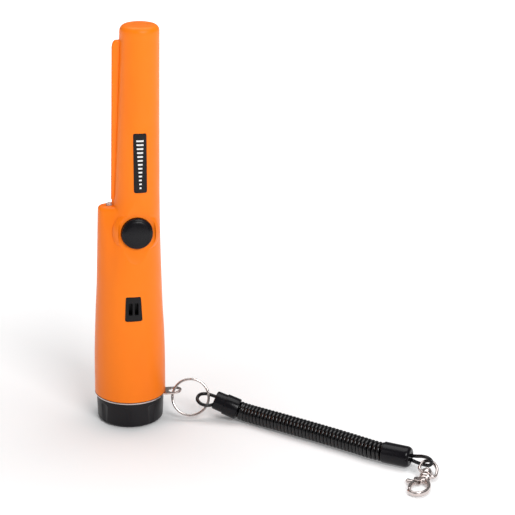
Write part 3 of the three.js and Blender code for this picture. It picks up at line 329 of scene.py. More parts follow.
@dataclass(frozen=True)
class PrintedFilm:
    """Black label film with a ladder of plain pale ticks that widen upwards."""

    name: str
    centre_x: float
    low: float
    height: float
    ticks: int = 13
    margin: float = 2.4
    tick_share: float = 0.42
    tick_reach: float = 0.55
    tick_growth: float = 0.13
    film: Colour = (0.006, 0.005, 0.006)
    ink: Colour = (0.84, 0.84, 0.83)
    gloss: float = 0.2
    film_depth: float = 0.04

    def material(self) -> bpy.types.Material:
        """Returns the node material."""
        bench = Bench(self.name)
        across = abs(bench.along(0) * PER_METRE - self.centre_x)
        ladder = bench.along(2) * PER_METRE - (self.low + self.margin)
        share = ladder / (self.height - 2 * self.margin)
        step = share * self.ticks
        count = step.math("FLOOR", step)
        stroke = step.math("FRACT", step) < self.tick_share
        wide = across < (count * self.tick_growth + self.tick_reach)
        inside = (share > 0) * (share < 1)
        printed = stroke * wide * inside
        worn = bench.spread(bench.noise(900, 3), 0.3, 0.75, 1.0, 0.86)
        base = bench.blend(printed * worn, self.film, self.ink)
        rough = bench.spread(bench.noise(300, 3), 0.3, 0.7, 0.26, 0.36) + printed * 0.12
        height = printed + bench.noise(2000) * 0.3
        return bench.finish(Base_Color=base, Roughness=rough, Specular_IOR_Level=self.gloss,
                            Normal=bench.bump(height, 0.12, self.film_depth))


@dataclass(frozen=True)
class ClearLens:
    """Clear moulded acrylic with a faint warm cast."""

    name: str
    colour: Colour = (1.0, 0.86, 0.78)
    shade: Colour = (0.98, 0.70, 0.58)
    clearness: float = 0.6
    index: float = 1.49
    haze_scale: float = 900

    def material(self) -> bpy.types.Material:
        """Returns the node material."""
        bench = Bench(self.name)
        haze = bench.noise(self.haze_scale, 3)
        base = bench.blend(bench.spread(haze, 0.4, 0.8, 0, 0.6), self.colour, self.shade)
        return bench.finish(Base_Color=base, Roughness=bench.spread(haze, 0.3, 0.7, 0.03, 0.09),
                            Transmission_Weight=self.clearness, IOR=self.index)


class Pattern(Enum):
    """How an inner piece's two colours lie on it."""

    CLOUD = "cloud"
    WOUND = "wound"
    TRACES = "traces"
    CELLS = "cells"
    JACKET = "jacket"


@dataclass(frozen=True)
class InnerFinish:
    """Finish of a piece inside the housing: two colours in a pattern."""

    name: str
    first: Colour
    second: Colour
    pattern: Pattern = Pattern.CLOUD
    roughness: float = 0.45
    metallic: float = 0.0
    turn_scale: float = 900
    trace_scale: float = 260
    cell_scale: float = 1500
    jacket_foot: float = 0.043
    relief: float = 0.08

    def _share(self, bench: Bench) -> Wire:
        """Returns where the second colour shows, from 0 to 1.

        Args:
            bench: the material being built.

        Returns:
            The share, from 0 to 1.
        """
        if self.pattern is Pattern.WOUND:
            wave = {"wave_type": "BANDS", "bands_direction": "Z"}
            return bench.node("ShaderNodeTexWave", wave, {
                "Vector": bench.place(), "Scale": self.turn_scale, "Distortion": 0.4}, "Fac")
        if self.pattern is Pattern.TRACES:
            return bench.node("ShaderNodeTexBrick", {"offset": 0.5}, {
                "Vector": bench.place((1, 1, 0.4)), "Scale": self.trace_scale,
                "Mortar Size": 0.012}, "Fac")
        if self.pattern is Pattern.CELLS:
            cells = bench.node("ShaderNodeTexVoronoi", {}, {
                "Vector": bench.place(), "Scale": self.cell_scale}, "Distance")
            return bench.spread(cells, 0.1, 0.6, 0, 1)
        if self.pattern is Pattern.JACKET:
            return bench.along(2) > self.jacket_foot
        return bench.spread(bench.noise(300, 4), 0.35, 0.7, 0, 1)

    def material(self) -> bpy.types.Material:
        """Returns the node material."""
        bench = Bench(self.name)
        share = self._share(bench)
        base = bench.blend(share, self.first, self.second)
        rough = bench.spread(bench.noise(500, 3), 0.3, 0.7,
                             self.roughness - 0.06, self.roughness + 0.08)
        height = share + bench.noise(1800) * 0.4
        return bench.finish(Base_Color=base, Roughness=rough, Metallic=self.metallic,
                            Normal=bench.bump(height, 0.25, self.relief))


@dataclass(frozen=True)
class Finishes:
    """Every finish of the probe."""

    housing: Any = MouldedPlastic("orange housing", (1.0, 0.215, 0.003), (0.97, 0.195, 0.002),
                                  0.36, 0.10, 0.24)
    cap: Any = MouldedPlastic("satin black cap", (0.006, 0.005, 0.007), (0.010, 0.009, 0.011),
                              0.30, 0.3, 0.22)
    trim: Any = MouldedPlastic("black window", (0.005, 0.004, 0.005), (0.008, 0.007, 0.008),
                               0.32, 0.2, 0.2)
    button: Any = MouldedRubber("button rubber", roughness=0.26, grain=0.06)
    ferrule: Any = MouldedRubber("ferrule rubber", roughness=0.22, grain=0.06)
    seal: Any = MouldedRubber("seal rubber")
    nickel: Any = PlatedMetal("nickel plate")
    wire: Any = PlatedMetal("ring wire", roughness=0.14, along=(1, 1, 0.3))
    steel: Any = PlatedMetal("bright steel", (0.62, 0.61, 0.60), (0.42, 0.40, 0.38), 0.26)
    cord: Any = CordJacket("cord jacket")
    lens: Any = ClearLens("clear lens")
    foam: Any = InnerFinish("foam", (0.05, 0.05, 0.052), (0.012, 0.012, 0.013),
                            Pattern.CELLS, 0.9)
    copper: Any = InnerFinish("enamelled copper", (0.62, 0.22, 0.07), (0.30, 0.09, 0.03),
                              Pattern.WOUND, 0.32, 0.9)
    ferrite: Any = InnerFinish("ferrite", (0.030, 0.029, 0.031), (0.050, 0.048, 0.050),
                               Pattern.CLOUD, 0.7)
    board: Any = InnerFinish("solder mask", (0.012, 0.16, 0.05), (0.02, 0.25, 0.08),
                             Pattern.TRACES, 0.35)
    chip: Any = InnerFinish("chip package", (0.012, 0.012, 0.013), (0.020, 0.020, 0.022),
                            Pattern.CLOUD, 0.55)
    cream: Any = InnerFinish("cream plastic", (0.66, 0.62, 0.50), (0.58, 0.54, 0.42),
                             Pattern.CLOUD, 0.5)
    battery: Any = InnerFinish("battery jacket", (0.035, 0.038, 0.045), (0.55, 0.36, 0.10),
                               Pattern.JACKET, 0.3, 0.5)
    red: Any = InnerFinish("red insulation", (0.45, 0.012, 0.012), (0.36, 0.010, 0.010),
                           Pattern.CLOUD, 0.4)
    black: Any = InnerFinish("black insulation", (0.012, 0.012, 0.012), (0.02, 0.02, 0.02),
                             Pattern.CLOUD, 0.4)


# ---------------------------------------------------------------- mesh building


def arc(count: int, span: float = math.pi / 2) -> list[float]:
    """Evenly spaced angles from 0 to a span."""
    return [span * i / count for i in range(count + 1)]


class Join(Enum):
    """How one form is worked into another."""

    ADD = "UNION"
    CUT = "DIFFERENCE"
    KEEP = "INTERSECT"


class Form:
    """A mesh being modelled, in millimetres."""

    def __init__(self) -> None:
        """Starts an empty mesh."""
        self.bm = bmesh.new()

    def _loop(self, ring: Sequence[Any]) -> list[Any]:
        """The edges between a ring's vertices."""
        return [self.bm.edges.get(pair) for pair in zip(ring, [*ring[1:], ring[0]])]

    def _grown(self, edges: list[Any], ring: Sequence[Any]) -> tuple[list[Any], list[Any]]:
        """Grows a ring of edges by one step.

        Args:
            edges: the ring's edges.
            ring: its vertices in order.

        Returns:
            The new ring's edges, and its vertices in the same order.
        """
        grown = bmesh.ops.extrude_edge_only(self.bm, edges=edges)["geom"]
        fresh = {item for item in grown if isinstance(item, bmesh.types.BMVert)}
        verts = [next(edge.other_vert(vert) for edge in vert.link_edges
                      if edge.other_vert(vert) in fresh) for vert in ring]
        return [item for item in grown if isinstance(item, bmesh.types.BMEdge)], verts

    def raised(self, faces: list[Any], height: float) -> None:
        """Gives flat faces a thickness upwards.

        Args:
            faces: flat faces that look up or down.
            height: the thickness.
        """
        grown = bmesh.ops.extrude_face_region(self.bm, geom=faces, use_keep_orig=True)["geom"]
        fresh = [item for item in grown if isinstance(item, bmesh.types.BMVert)]
        bmesh.ops.translate(self.bm, vec=UP * height, verts=fresh)
        self.turned_out()

    @classmethod
    def stack(cls, sides: int, heights: Sequence[float], centre: Callable[[float], float],
              radius: Callable[[float, float], float]) -> "Form":
        """Grows a closed form upwards from a circle, ring by ring.

        Args:
            sides: vertices in each ring.
            heights: z of each ring.
            centre: x of the middle of the ring at a height.
            radius: distance from that middle at a height and an angle.

        Returns:
            The form with both ends closed.
        """
        form = cls()
        ring = bmesh.ops.create_circle(form.bm, segments=sides, radius=1, cap_ends=False)["verts"]
        edges = list(form.bm.edges)
        middle = 0.0
        for i, height in enumerate(heights):
            if i == 0:
                bmesh.ops.edgeloop_fill(form.bm, edges=edges)
            else:
                edges, ring = form._grown(edges, ring)
            for vert in ring:
                angle = math.atan2(vert.co.y, vert.co.x - middle)
                reach = radius(height, angle)
                vert.co = (centre(height) + reach * math.cos(angle), reach * math.sin(angle),
                           height)
            middle = centre(height)
        bmesh.ops.edgeloop_fill(form.bm, edges=edges)
        return form.turned_out()

    @classmethod
    def spun(cls, profile: Sequence[tuple[float, float]], sides: int = 96) -> "Form":
        """Turns a profile of (radius, height) points about Z.

        Args:
            profile: points along the profile; ends on the axis close themselves.
            sides: steps of a full turn.

        Returns:
            The turned form.
        """
        form = cls()
        verts = [form.bm.verts.new((radius, 0, height)) for radius, height in profile]
        edges = [form.bm.edges.new(pair) for pair in zip(verts, verts[1:])]
        bmesh.ops.spin(form.bm, geom=verts + edges, cent=(0, 0, 0), axis=UP, dvec=(0, 0, 0),
                       angle=2 * math.pi, steps=sides, use_merge=True, use_duplicate=False)
        bmesh.ops.remove_doubles(form.bm, verts=form.bm.verts, dist=1e-4)
        bmesh.ops.dissolve_degenerate(form.bm, edges=form.bm.edges, dist=1e-5)
        return form.turned_out()

    @classmethod
    def rod(cls, radius: float, low: float, high: float, sides: int) -> "Form":
        """A plain round rod about Z, mostly for cutting holes."""
        return cls.spun([(0, low), (radius, low), (radius, high), (0, high)], sides)

    @classmethod
    def swept(cls, path: Sequence[Vector], sections: Sequence[tuple[float, float]],
              sides: int = 24, squareness: float = 0.85, closed: bool = False) -> "Form":
        """Sweeps an oval along a path.

        Args:
            path: points that the middle follows.
            sections: half width across the path and half height, one or one per point.
            sides: vertices round the oval.
            squareness: 1 for an ellipse, less for a squarer section.
            closed: whether the path's end joins its start.

        Returns:
            The closed form.
        """
        form = cls()
        count = len(path)
        spread = list(sections) if len(sections) > 1 else list(sections) * count
        rim = bmesh.ops.create_circle(form.bm, segments=sides, radius=1, cap_ends=False)["verts"]
        turns = [math.atan2(vert.co.y, vert.co.x) for vert in rim]
        rings = [list(rim)]
        edges = list(form.bm.edges)
        for _ in range(count - 1):
            edges, verts = form._grown(edges, rings[-1])
            rings.append(verts)
        for i, ring in enumerate(rings):
            after = path[(i + 1) % count] if closed or i < count - 1 else path[i]
            before = path[i - 1] if closed or i > 0 else path[i]
            tangent = (after - before).normalized()
            side = tangent.cross(UP).normalized()
            rise = side.cross(tangent).normalized()
            wide, tall = spread[i]
            for vert, turn in zip(ring, turns):
                across = math.copysign(abs(math.cos(turn)) ** squareness, math.cos(turn))
                along = math.copysign(abs(math.sin(turn)) ** squareness, math.sin(turn))
                vert.co = path[i] + side * (wide * across) + rise * (tall * along)
        if closed:
            bmesh.ops.bridge_loops(form.bm, edges=form._loop(rings[0]) + form._loop(rings[-1]))
        else:
            for ring, end, inner, section in ((rings[0], path[0], path[1], spread[0]),
                                              (rings[-1], path[-1], path[-2], spread[-1])):
                form._round_end(ring, end, (end - inner).normalized(), min(section))
        return form.turned_out()

    def _round_end(self, ring: Sequence[Any], middle: Vector, out: Vector, size: float) -> None:
        """Closes a swept end with a low dome.

        Args:
            ring: the end's vertices in order.
            middle: the end's middle.
            out: the direction that the dome points in.
            size: half the thickness, which sets how far it stands out.
        """
        edges, verts = self._loop(ring), list(ring)
        start = [vert.co.copy() for vert in ring]
        for turn in (0.5, 1.0, 1.35):
            edges, verts = self._grown(edges, verts)
            for vert, place in zip(verts, start):
                reach = (place - middle) * math.cos(turn)
                vert.co = middle + reach + out * (0.8 * size * math.sin(turn))
        bmesh.ops.edgeloop_fill(self.bm, edges=edges)

    @classmethod
    def block(cls, low: Point, high: Point) -> "Form":
        """A box between two corners.

        Args:
            low: its lowest corner.
            high: its highest corner.

        Returns:
            The box.
        """
        form = cls()
        low, high = Vector(low), Vector(high)
        verts = bmesh.ops.create_cube(form.bm, size=1)["verts"]
        bmesh.ops.scale(form.bm, vec=high - low, verts=verts)
        bmesh.ops.translate(form.bm, vec=(low + high) / 2, verts=verts)
        return form

    @classmethod
    def plate(cls, outline: Sequence[tuple[float, float]], thickness: float, bevel: float = 0.0,
              hole: tuple[float, float, float] | None = None) -> "Form":
        """A flat plate on z = 0 to its thickness.

        Args:
            outline: its corners in the XY plane, in order.
            thickness: how thick it is.
            bevel: rounding of its rim.
            hole: x, y and radius of a round hole.

        Returns:
            The plate.
        """
        form = cls()
        face = form.bm.faces.new([form.bm.verts.new((x, y, 0)) for x, y in outline])
        form.raised([face], thickness)
        if hole:
            bore = cls.rod(hole[2], -5, thickness + 5, 48)
            form.work(bore.shifted(hole[0], hole[1], 0), Join.CUT)
        if bevel:
            form.rounded(bevel)
        return form

    def bevelled(self, edges: list[Any], size: float, segments: int) -> "Form":
        """Rounds chosen edges."""
        bmesh.ops.bevel(self.bm, geom=edges, offset=size, offset_type="OFFSET", affect="EDGES",
                        segments=segments, profile=0.5, material=-1, clamp_overlap=True)
        return self

    def rounded(self, size: float, angle: float = 40.0, segments: int = 3) -> "Form":
        """Rounds the edges that are sharper than an angle in degrees.

        Args:
            size: how far from the edge the rounding starts.
            angle: the least angle in degrees that counts as sharp.
            segments: facets across the rounding.

        Returns:
            This form.
        """
        limit = math.radians(angle)
        sharp = [edge for edge in self.bm.edges
                 if len(edge.link_faces) == 2 and edge.calc_face_angle(0) > limit]
        return self.bevelled(sharp, size, segments)

    def turned_out(self) -> "Form":
        """Points every face outwards."""
        bmesh.ops.recalc_face_normals(self.bm, faces=self.bm.faces)
        return self

    def moved(self, matrix: Matrix) -> "Form":
        """Moves or turns the whole form."""
        bmesh.ops.transform(self.bm, matrix=matrix, verts=self.bm.verts)
        return self

    def shifted(self, x: float, y: float, z: float) -> "Form":
        """Moves the whole form without turning it."""
        return self.moved(Matrix.Translation((x, y, z)))

    def turned(self, degrees: float, axis: str) -> "Form":
        """Turns the whole form about an axis through the origin."""
        return self.moved(Matrix.Rotation(math.radians(degrees), 4, axis))

    def laid(self, start: Point, end: Point) -> "Form":
        """Lays a form made about +Z from one point towards another."""
        way = Vector(end) - Vector(start)
        turn = UP.rotation_difference(way.normalized()).to_matrix().to_4x4()
        return self.moved(Matrix.Translation(Vector(start)) @ turn)

    def bent(self, change: Callable[[Vector], Vector]) -> "Form":
        """Moves every vertex by a rule."""
        for vert in self.bm.verts:
            vert.co = change(vert.co.copy())
        return self

    def work(self, other: "Form", join: Join) -> "Form":
        """Joins, cuts or keeps what is shared with another closed form.

        Args:
            other: the other form, which stays as it is.
            join: what is done.

        Returns:
            This form, worked.
        """
        mine = bpy.data.objects.new("form", self.mesh("form"))
        tool = bpy.data.objects.new("tool", other.mesh("tool"))
        for obj in (mine, tool):
            bpy.context.scene.collection.objects.link(obj)
        cut = mine.modifiers.new("work", "BOOLEAN")
        cut.solver = "MANIFOLD"
        cut.operation = join.value
        cut.object = tool
        graph = bpy.context.evaluated_depsgraph_get()
        result = bpy.data.meshes.new_from_object(mine.evaluated_get(graph), depsgraph=graph)
        self.bm.clear()
        self.bm.from_mesh(result)
        for obj in (mine, tool):
            old = obj.data
            bpy.data.objects.remove(obj)
            bpy.data.meshes.remove(old)
        bpy.data.meshes.remove(result)
        if not self.bm.faces:
            raise RuntimeError(f"{join.name} left nothing")
        return self

    def mesh(self, name: str) -> bpy.types.Mesh:
        """The form as a mesh, still in millimetres."""
        mesh = bpy.data.meshes.new(name)
        self.bm.to_mesh(mesh)
        return mesh

    def piece(self, name: str, body: str, slot: str, material: bpy.types.Material,
              *nodes: str, crease: float = 32.0) -> bpy.types.Object:
        """Finishes the form as a piece of the object.

        Args:
            name: the piece's name.
            body: the CAD body that it rides on.
            slot: not used.
            material: its finish.
            nodes: the CAD nodes that it replaces.
            crease: edges sharper than this many degrees stay sharp.

        Returns:
            The piece, at the origin, in metres.
        """
        bmesh.ops.scale(self.bm, vec=(MM, MM, MM), verts=self.bm.verts)
        mesh = self.mesh(name)
        for polygon in mesh.polygons:
            polygon.use_smooth = True
        mesh.set_sharp_from_angle(angle=math.radians(crease))
        mesh.materials.append(material)
        obj = bpy.data.objects.new(name, mesh)
        bpy.context.scene.collection.objects.link(obj)
        log.info("%s: %d faces on %s", name, len(mesh.polygons), body)
        self.bm.free()
        return settle(obj, body, nodes)


def settle(obj: bpy.types.Object, body: str, nodes: Iterable[str]) -> bpy.types.Object:
    """Rides a piece on its body and hides what it replaces.

    Args:
        obj: the piece.
        body: the CAD body that it rides on.
        nodes: the CAD nodes that it replaces.

    Returns:
        The same piece.
    """
    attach(obj, body)
    if nodes:
        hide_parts(*nodes)
    return obj


def smooth_line(points: Sequence[Point], count: int) -> list[Vector]:
    """A smooth line through points, evenly spaced.

    Args:
        points: what the line passes through.
        count: how many points to return.

    Returns:
        Points along a centripetal Catmull-Rom line.
    """
    knots = [Vector(point) for point in points]
    knots = [2 * knots[0] - knots[1], *knots, 2 * knots[-1] - knots[-2]]
    dense: list[Vector] = []
    for i in range(1, len(knots) - 2):
        p0, p1, p2, p3 = knots[i - 1:i + 3]
        t1 = max((p1 - p0).length, 1e-9) ** 0.5
        t2 = t1 + max((p2 - p1).length, 1e-9) ** 0.5
        t3 = t2 + max((p3 - p2).length, 1e-9) ** 0.5
        for step in range(24):
            t = t1 + (t2 - t1) * step / 24
            a1 = p0 * ((t1 - t) / t1) + p1 * (t / t1)
            a2 = p1 * ((t2 - t) / (t2 - t1)) + p2 * ((t - t1) / (t2 - t1))
            a3 = p2 * ((t3 - t) / (t3 - t2)) + p3 * ((t - t2) / (t3 - t2))
            b1 = a1 * ((t2 - t) / t2) + a2 * (t / t2)
            b2 = a2 * ((t3 - t) / (t3 - t1)) + a3 * ((t - t1) / (t3 - t1))
            dense.append(b1 * ((t2 - t) / (t2 - t1)) + b2 * ((t - t1) / (t2 - t1)))
    dense.append(knots[-2])
    return evenly(dense, count)


def flat_line(points: Sequence[tuple[float, float]], count: int) -> list[Vector]:
    """A smooth line through points on z = 0, evenly spaced."""
    return smooth_line([(x, y, 0) for x, y in points], count)


def evenly(line: Sequence[Vector], count: int) -> list[Vector]:
    """The same line with evenly spaced points.

    Args:
        line: the points as they are.
        count: how many points to return.

    Returns:
        The new points, ends included.
    """
    lengths = [0.0]
    for a, b in zip(line, line[1:]):
        lengths.append(lengths[-1] + (b - a).length)
    result = []
    at = 0
    for i in range(count):
        goal = lengths[-1] * i / (count - 1)
        while at < len(line) - 2 and lengths[at + 1] < goal:
            at += 1
        gap = lengths[at + 1] - lengths[at]
        share = (goal - lengths[at]) / gap if gap else 0.0
        result.append(line[at].lerp(line[at + 1], min(max(share, 0.0), 1.0)))
    return result


def line_length(line: Sequence[Vector]) -> float:
    """Length of a line of points."""
    return sum((b - a).length for a, b in zip(line, line[1:]))


def cord_curve(name: str, line: Sequence[Vector], diameter: float, body: str,
               material: bpy.types.Material, *nodes: str) -> bpy.types.Object:
    """Makes a round cord along a line in millimetres.

    Args:
        name: the piece's name.
        line: its centreline.
        diameter: its thickness.
        body: the CAD body that it rides on.
        material: its finish.
        nodes: the CAD nodes that it replaces.

    Returns:
        The cord as a curve in metres.
    """
    data = bpy.data.curves.new(name, "CURVE")
    data.dimensions = "3D"
    data.bevel_depth = diameter / 2 * MM
    data.bevel_resolution = 3
    data.use_fill_caps = True
    spline = data.splines.new("POLY")
    spline.points.add(len(line) - 1)
    for point, place in zip(spline.points, line):
        point.co = (*(place * MM), 1)
    spline.use_smooth = True
    data.materials.append(material)
    obj = bpy.data.objects.new(name, data)
    bpy.context.scene.collection.objects.link(obj)
    log.info("%s: %.0f mm of cord on %s", name, line_length(line), body)
    return settle(obj, body, nodes)


# ---------------------------------------------------------------- stage


@dataclass
class Studio:
    """Camera, pale floor and soft lights."""

    camera_place: Point = (-0.1143, -0.9311, 0.4461)
    lens: float = 118.8
    sensor: float = 36
    heading: float = 11.617
    pitch: float = -20.174
    roll: float = 0.9
    floor_reach: float = 8.0
    glow_to: float = 0.7
    glow: float = 0.9
    room_light: float = 0.2

    def camera(self) -> None:
        """Makes the camera that looks down on the probe from the button's side."""
        data = bpy.data.cameras.new("camera")
        data.lens = self.lens
        data.sensor_width = self.sensor
        obj = bpy.data.objects.new("camera", data)
        turn = (Matrix.Rotation(-math.radians(self.heading), 4, "Z")
                @ Matrix.Rotation(math.radians(90 + self.pitch), 4, "X")
                @ Matrix.Rotation(math.radians(self.roll), 4, "Z"))
        obj.matrix_world = Matrix.Translation(self.camera_place) @ turn
        bpy.context.scene.collection.objects.link(obj)
        bpy.context.scene.camera = obj

    def floor(self) -> None:
        """Makes a pale floor that glows more and more away from the probe, so it stays white."""
        form = Form()
        bmesh.ops.create_grid(form.bm, x_segments=8, y_segments=8, size=self.floor_reach)
        mesh = form.mesh("floor")
        bench = Bench("pale floor")
        length = {"operation": "LENGTH"}
        away = bench.node("ShaderNodeVectorMath", length, {0: bench.place()}, "Value")
        glow = bench.spread(away, 0, self.glow_to, 0, self.glow)
        tone = bench.blend(bench.noise(3, 3), (0.90, 0.90, 0.905), (0.87, 0.87, 0.875))
        light = bench.blend(glow, (0, 0, 0), (1, 1, 1))
        mesh.materials.append(bench.finish(Base_Color=tone, Roughness=0.55,
                                           Emission_Color=light, Emission_Strength=1.0))
        obj = bpy.data.objects.new("floor", mesh)
        bpy.context.scene.collection.objects.link(obj)
        obj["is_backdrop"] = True

    @staticmethod
    def _lamp(name: str, place: Point, target: Point, size: tuple[float, float],
              power: float) -> None:
        """Adds one soft rectangular light aimed at a point.

        Args:
            name: the light's name.
            place: where it hangs, in metres.
            target: what it points at, in metres.
            size: its width and height in metres.
            power: its power in watts.
        """
        data = bpy.data.lights.new(name, "AREA")
        data.shape = "RECTANGLE"
        data.size, data.size_y = size
        data.energy = power
        obj = bpy.data.objects.new(name, data)
        aim = (Vector(target) - Vector(place)).to_track_quat("-Z", "Y").to_matrix().to_4x4()
        obj.matrix_world = Matrix.Translation(place) @ aim
        bpy.context.scene.collection.objects.link(obj)

    def lights(self) -> None:
        """Adds the softboxes and the white room, which lights the probe only dimly."""
        self._lamp("key", (0.42, -1.32, 1.15), (0.02, 0, 0.1), (0.7, 0.7), 15.5)
        self._lamp("fill", (-1.25, -0.6, 0.8), (0.03, 0, 0.1), (0.4, 0.9), 1.2)
        self._lamp("top", (0.1, 0.35, 1.6), (0.03, 0.05, 0.0), (1.8, 1.2), 18)
        world = bpy.data.worlds.new("room")
        world.use_nodes = True
        sky = world.node_tree.nodes["Background"]
        sky.inputs["Color"].default_value = (1, 1, 1, 1)
        rays = world.node_tree.nodes.new("ShaderNodeLightPath")
        level = world.node_tree.nodes.new("ShaderNodeMapRange")
        level.inputs["To Min"].default_value = self.room_light
        level.inputs["To Max"].default_value = 1.0
        world.node_tree.links.new(rays.outputs["Is Camera Ray"], level.inputs["Value"])
        world.node_tree.links.new(level.outputs["Result"], sky.inputs["Strength"])
        bpy.context.scene.world = world
        bpy.context.scene.view_settings.view_transform = "Standard"


# ---------------------------------------------------------------- lanyard


@dataclass
class Lanyard:
    """The coiled cord, its ferrules and its two loops."""

    finishes: Finishes
    wire: float = 2.5
    coil_width: float = 11.2
    turns: float = 41.5
    per_turn: int = 22
    first_reach: float = 0.45
    axis_points: int = 400
    loop_width: float = 2.1
    loop_points: int = 72
    ferrule_radius: float = 6.3
    root: float = 4.9
    ferrule_near: tuple = ((49.6, -12.8, 11.8), (62.9, -18.7, 7.0))
    ferrule_far: tuple = ((134.8, -86.9, 6.35), (148.2, -96.7, 6.4))
    coil_route: tuple = (
        (62.0, -18.3, 7.35), (63.35, -18.9, 6.84), (65.2, -19.75, 6.17), (69, -22.9, 5.78),
        (75.2, -29.1, 5.95), (84, -37.5, 6.1), (95, -47.9, 6.1), (106, -58.5, 6.1),
        (117, -69.4, 6.1), (124.4, -77.1, 6.15), (129.4, -82.5, 6.2), (134.4, -86.6, 6.2),
        (135.6, -87.5, 6.35))
    near_loop: tuple = (
        (52.2, -12.2, 13.2), (49.9, -11.4, 13.3), (47.4, -9.4, 13.6), (45.2, -8.3, 13.9),
        (41.0, -8.9, 13.9), (39.0, -11.9, 12.4), (40.6, -15.3, 10.9), (43.6, -16.6, 10.2),
        (46.4, -16.3, 9.9), (48.6, -15.2, 9.8), (51.0, -15.2, 9.2))
    far_loop: tuple = (
        (146.0, -95.1, 7.6), (148.65, -97.1, 7.7), (150.9, -99.4, 8.4), (153.3, -102.4, 9.55),
        (155.6, -105.0, 9.8), (157.1, -106.8, 8.8), (157.3, -107.1, 7.0), (156.3, -106.0, 5.4),
        (154.2, -103.5, 4.8), (151.0, -99.7, 4.6), (148.65, -97.1, 4.9), (146.0, -95.1, 5.1))

    def cords(self) -> None:
        """Makes the helix and both loops and keeps their lines."""
        cord = self.finishes.cord.material()
        spin = self.coil_width / 2 - self.wire / 2
        count = int(self.turns * self.per_turn)
        middle = evenly(smooth_line(self.coil_route, self.axis_points), count)
        side = UP
        line = []
        for i, place in enumerate(middle):
            tangent = (middle[min(i + 1, count - 1)] - middle[max(i - 1, 0)]).normalized()
            side = (side - tangent * side.dot(tangent)).normalized()
            turn = 2 * math.pi * i / self.per_turn
            drawn = min(i, count - 1 - i) / (self.per_turn * 0.5)
            reach = spin * min(1.0, self.first_reach + (1 - self.first_reach) * drawn)
            spoke = side * math.cos(turn) + tangent.cross(side) * math.sin(turn)
            line.append(place + spoke * reach)
        self.coil_line = line
        self.coil = cord_curve("coiled_cord", line, self.wire, "lanyard", cord, "coil_cord")
        self.loops = []
        for name, route, node in (("loop_at_ring", self.near_loop, "cord_loop_near"),
                                  ("loop_at_clasp", self.far_loop, "cord_loop_far")):
            points = smooth_line(route, self.loop_points)
            made = cord_curve(name, points, self.loop_width, "lanyard", cord, node)
            self.loops.append((made, points))

    def ferrules(self) -> list[bpy.types.Object]:
        """Makes the stepped sleeve at the ring and the rounded one at the clasp.

        Returns:
            Both sleeves.
        """
        material = self.finishes.ferrule.material()
        full, root = self.ferrule_radius, self.root
        end = (Vector(self.ferrule_near[1]) - Vector(self.ferrule_near[0])).length
        near = Form.spun([
            (0, 0.25), (3.4, 0.25), (3.7, 0), (root, 0), (5.25, 0.15), (5.5, 0.45), (5.62, 0.9),
            (5.7, 6.2), (5.72, 6.5), (5.9, 6.6), (6.15, 6.7), (6.27, 6.9), (full, 7.2),
            (full, end - 0.8), (full - 0.1, end - 0.35), (full - 0.35, end - 0.1),
            (full - 0.7, end), (root, end), (root - 0.15, end - 0.6), (0, end - 0.6)])
        end = (Vector(self.ferrule_far[1]) - Vector(self.ferrule_far[0])).length
        slim, dome_height, dome_draw = full - 0.2, 2.6, 2.1
        dome = [(slim - dome_draw * (1 - math.cos(turn)),
                 end - dome_height + dome_height * math.sin(turn))
                for turn in (0.2, 0.45, 0.7, 0.95, 1.2, 1.42, math.pi / 2)]
        far = Form.spun([
            (0, 0.6), (root - 0.15, 0.6), (root, 0), (5.5, 0), (5.85, 0.12), (6.05, 0.4),
            (slim, 0.8), (slim, end - dome_height), *dome, (3.2, end), (2.9, end - 0.3),
            (0, end - 0.3)])
        return [form.laid(*line).piece(name, "lanyard", "rubber", material, node)
                for form, line, name, node in (
                    (near, self.ferrule_near, "sleeve_at_ring", "ferrule_near"),
                    (far, self.ferrule_far, "sleeve_at_clasp", "ferrule_far"))]

    def declare(self) -> None:
        line = self.coil_line
        tuple(line[0] * MM)
        line_length(line) * MM
        for loop, points in self.loops:
            line_length(points) * MM


# ---------------------------------------------------------------- metalwork


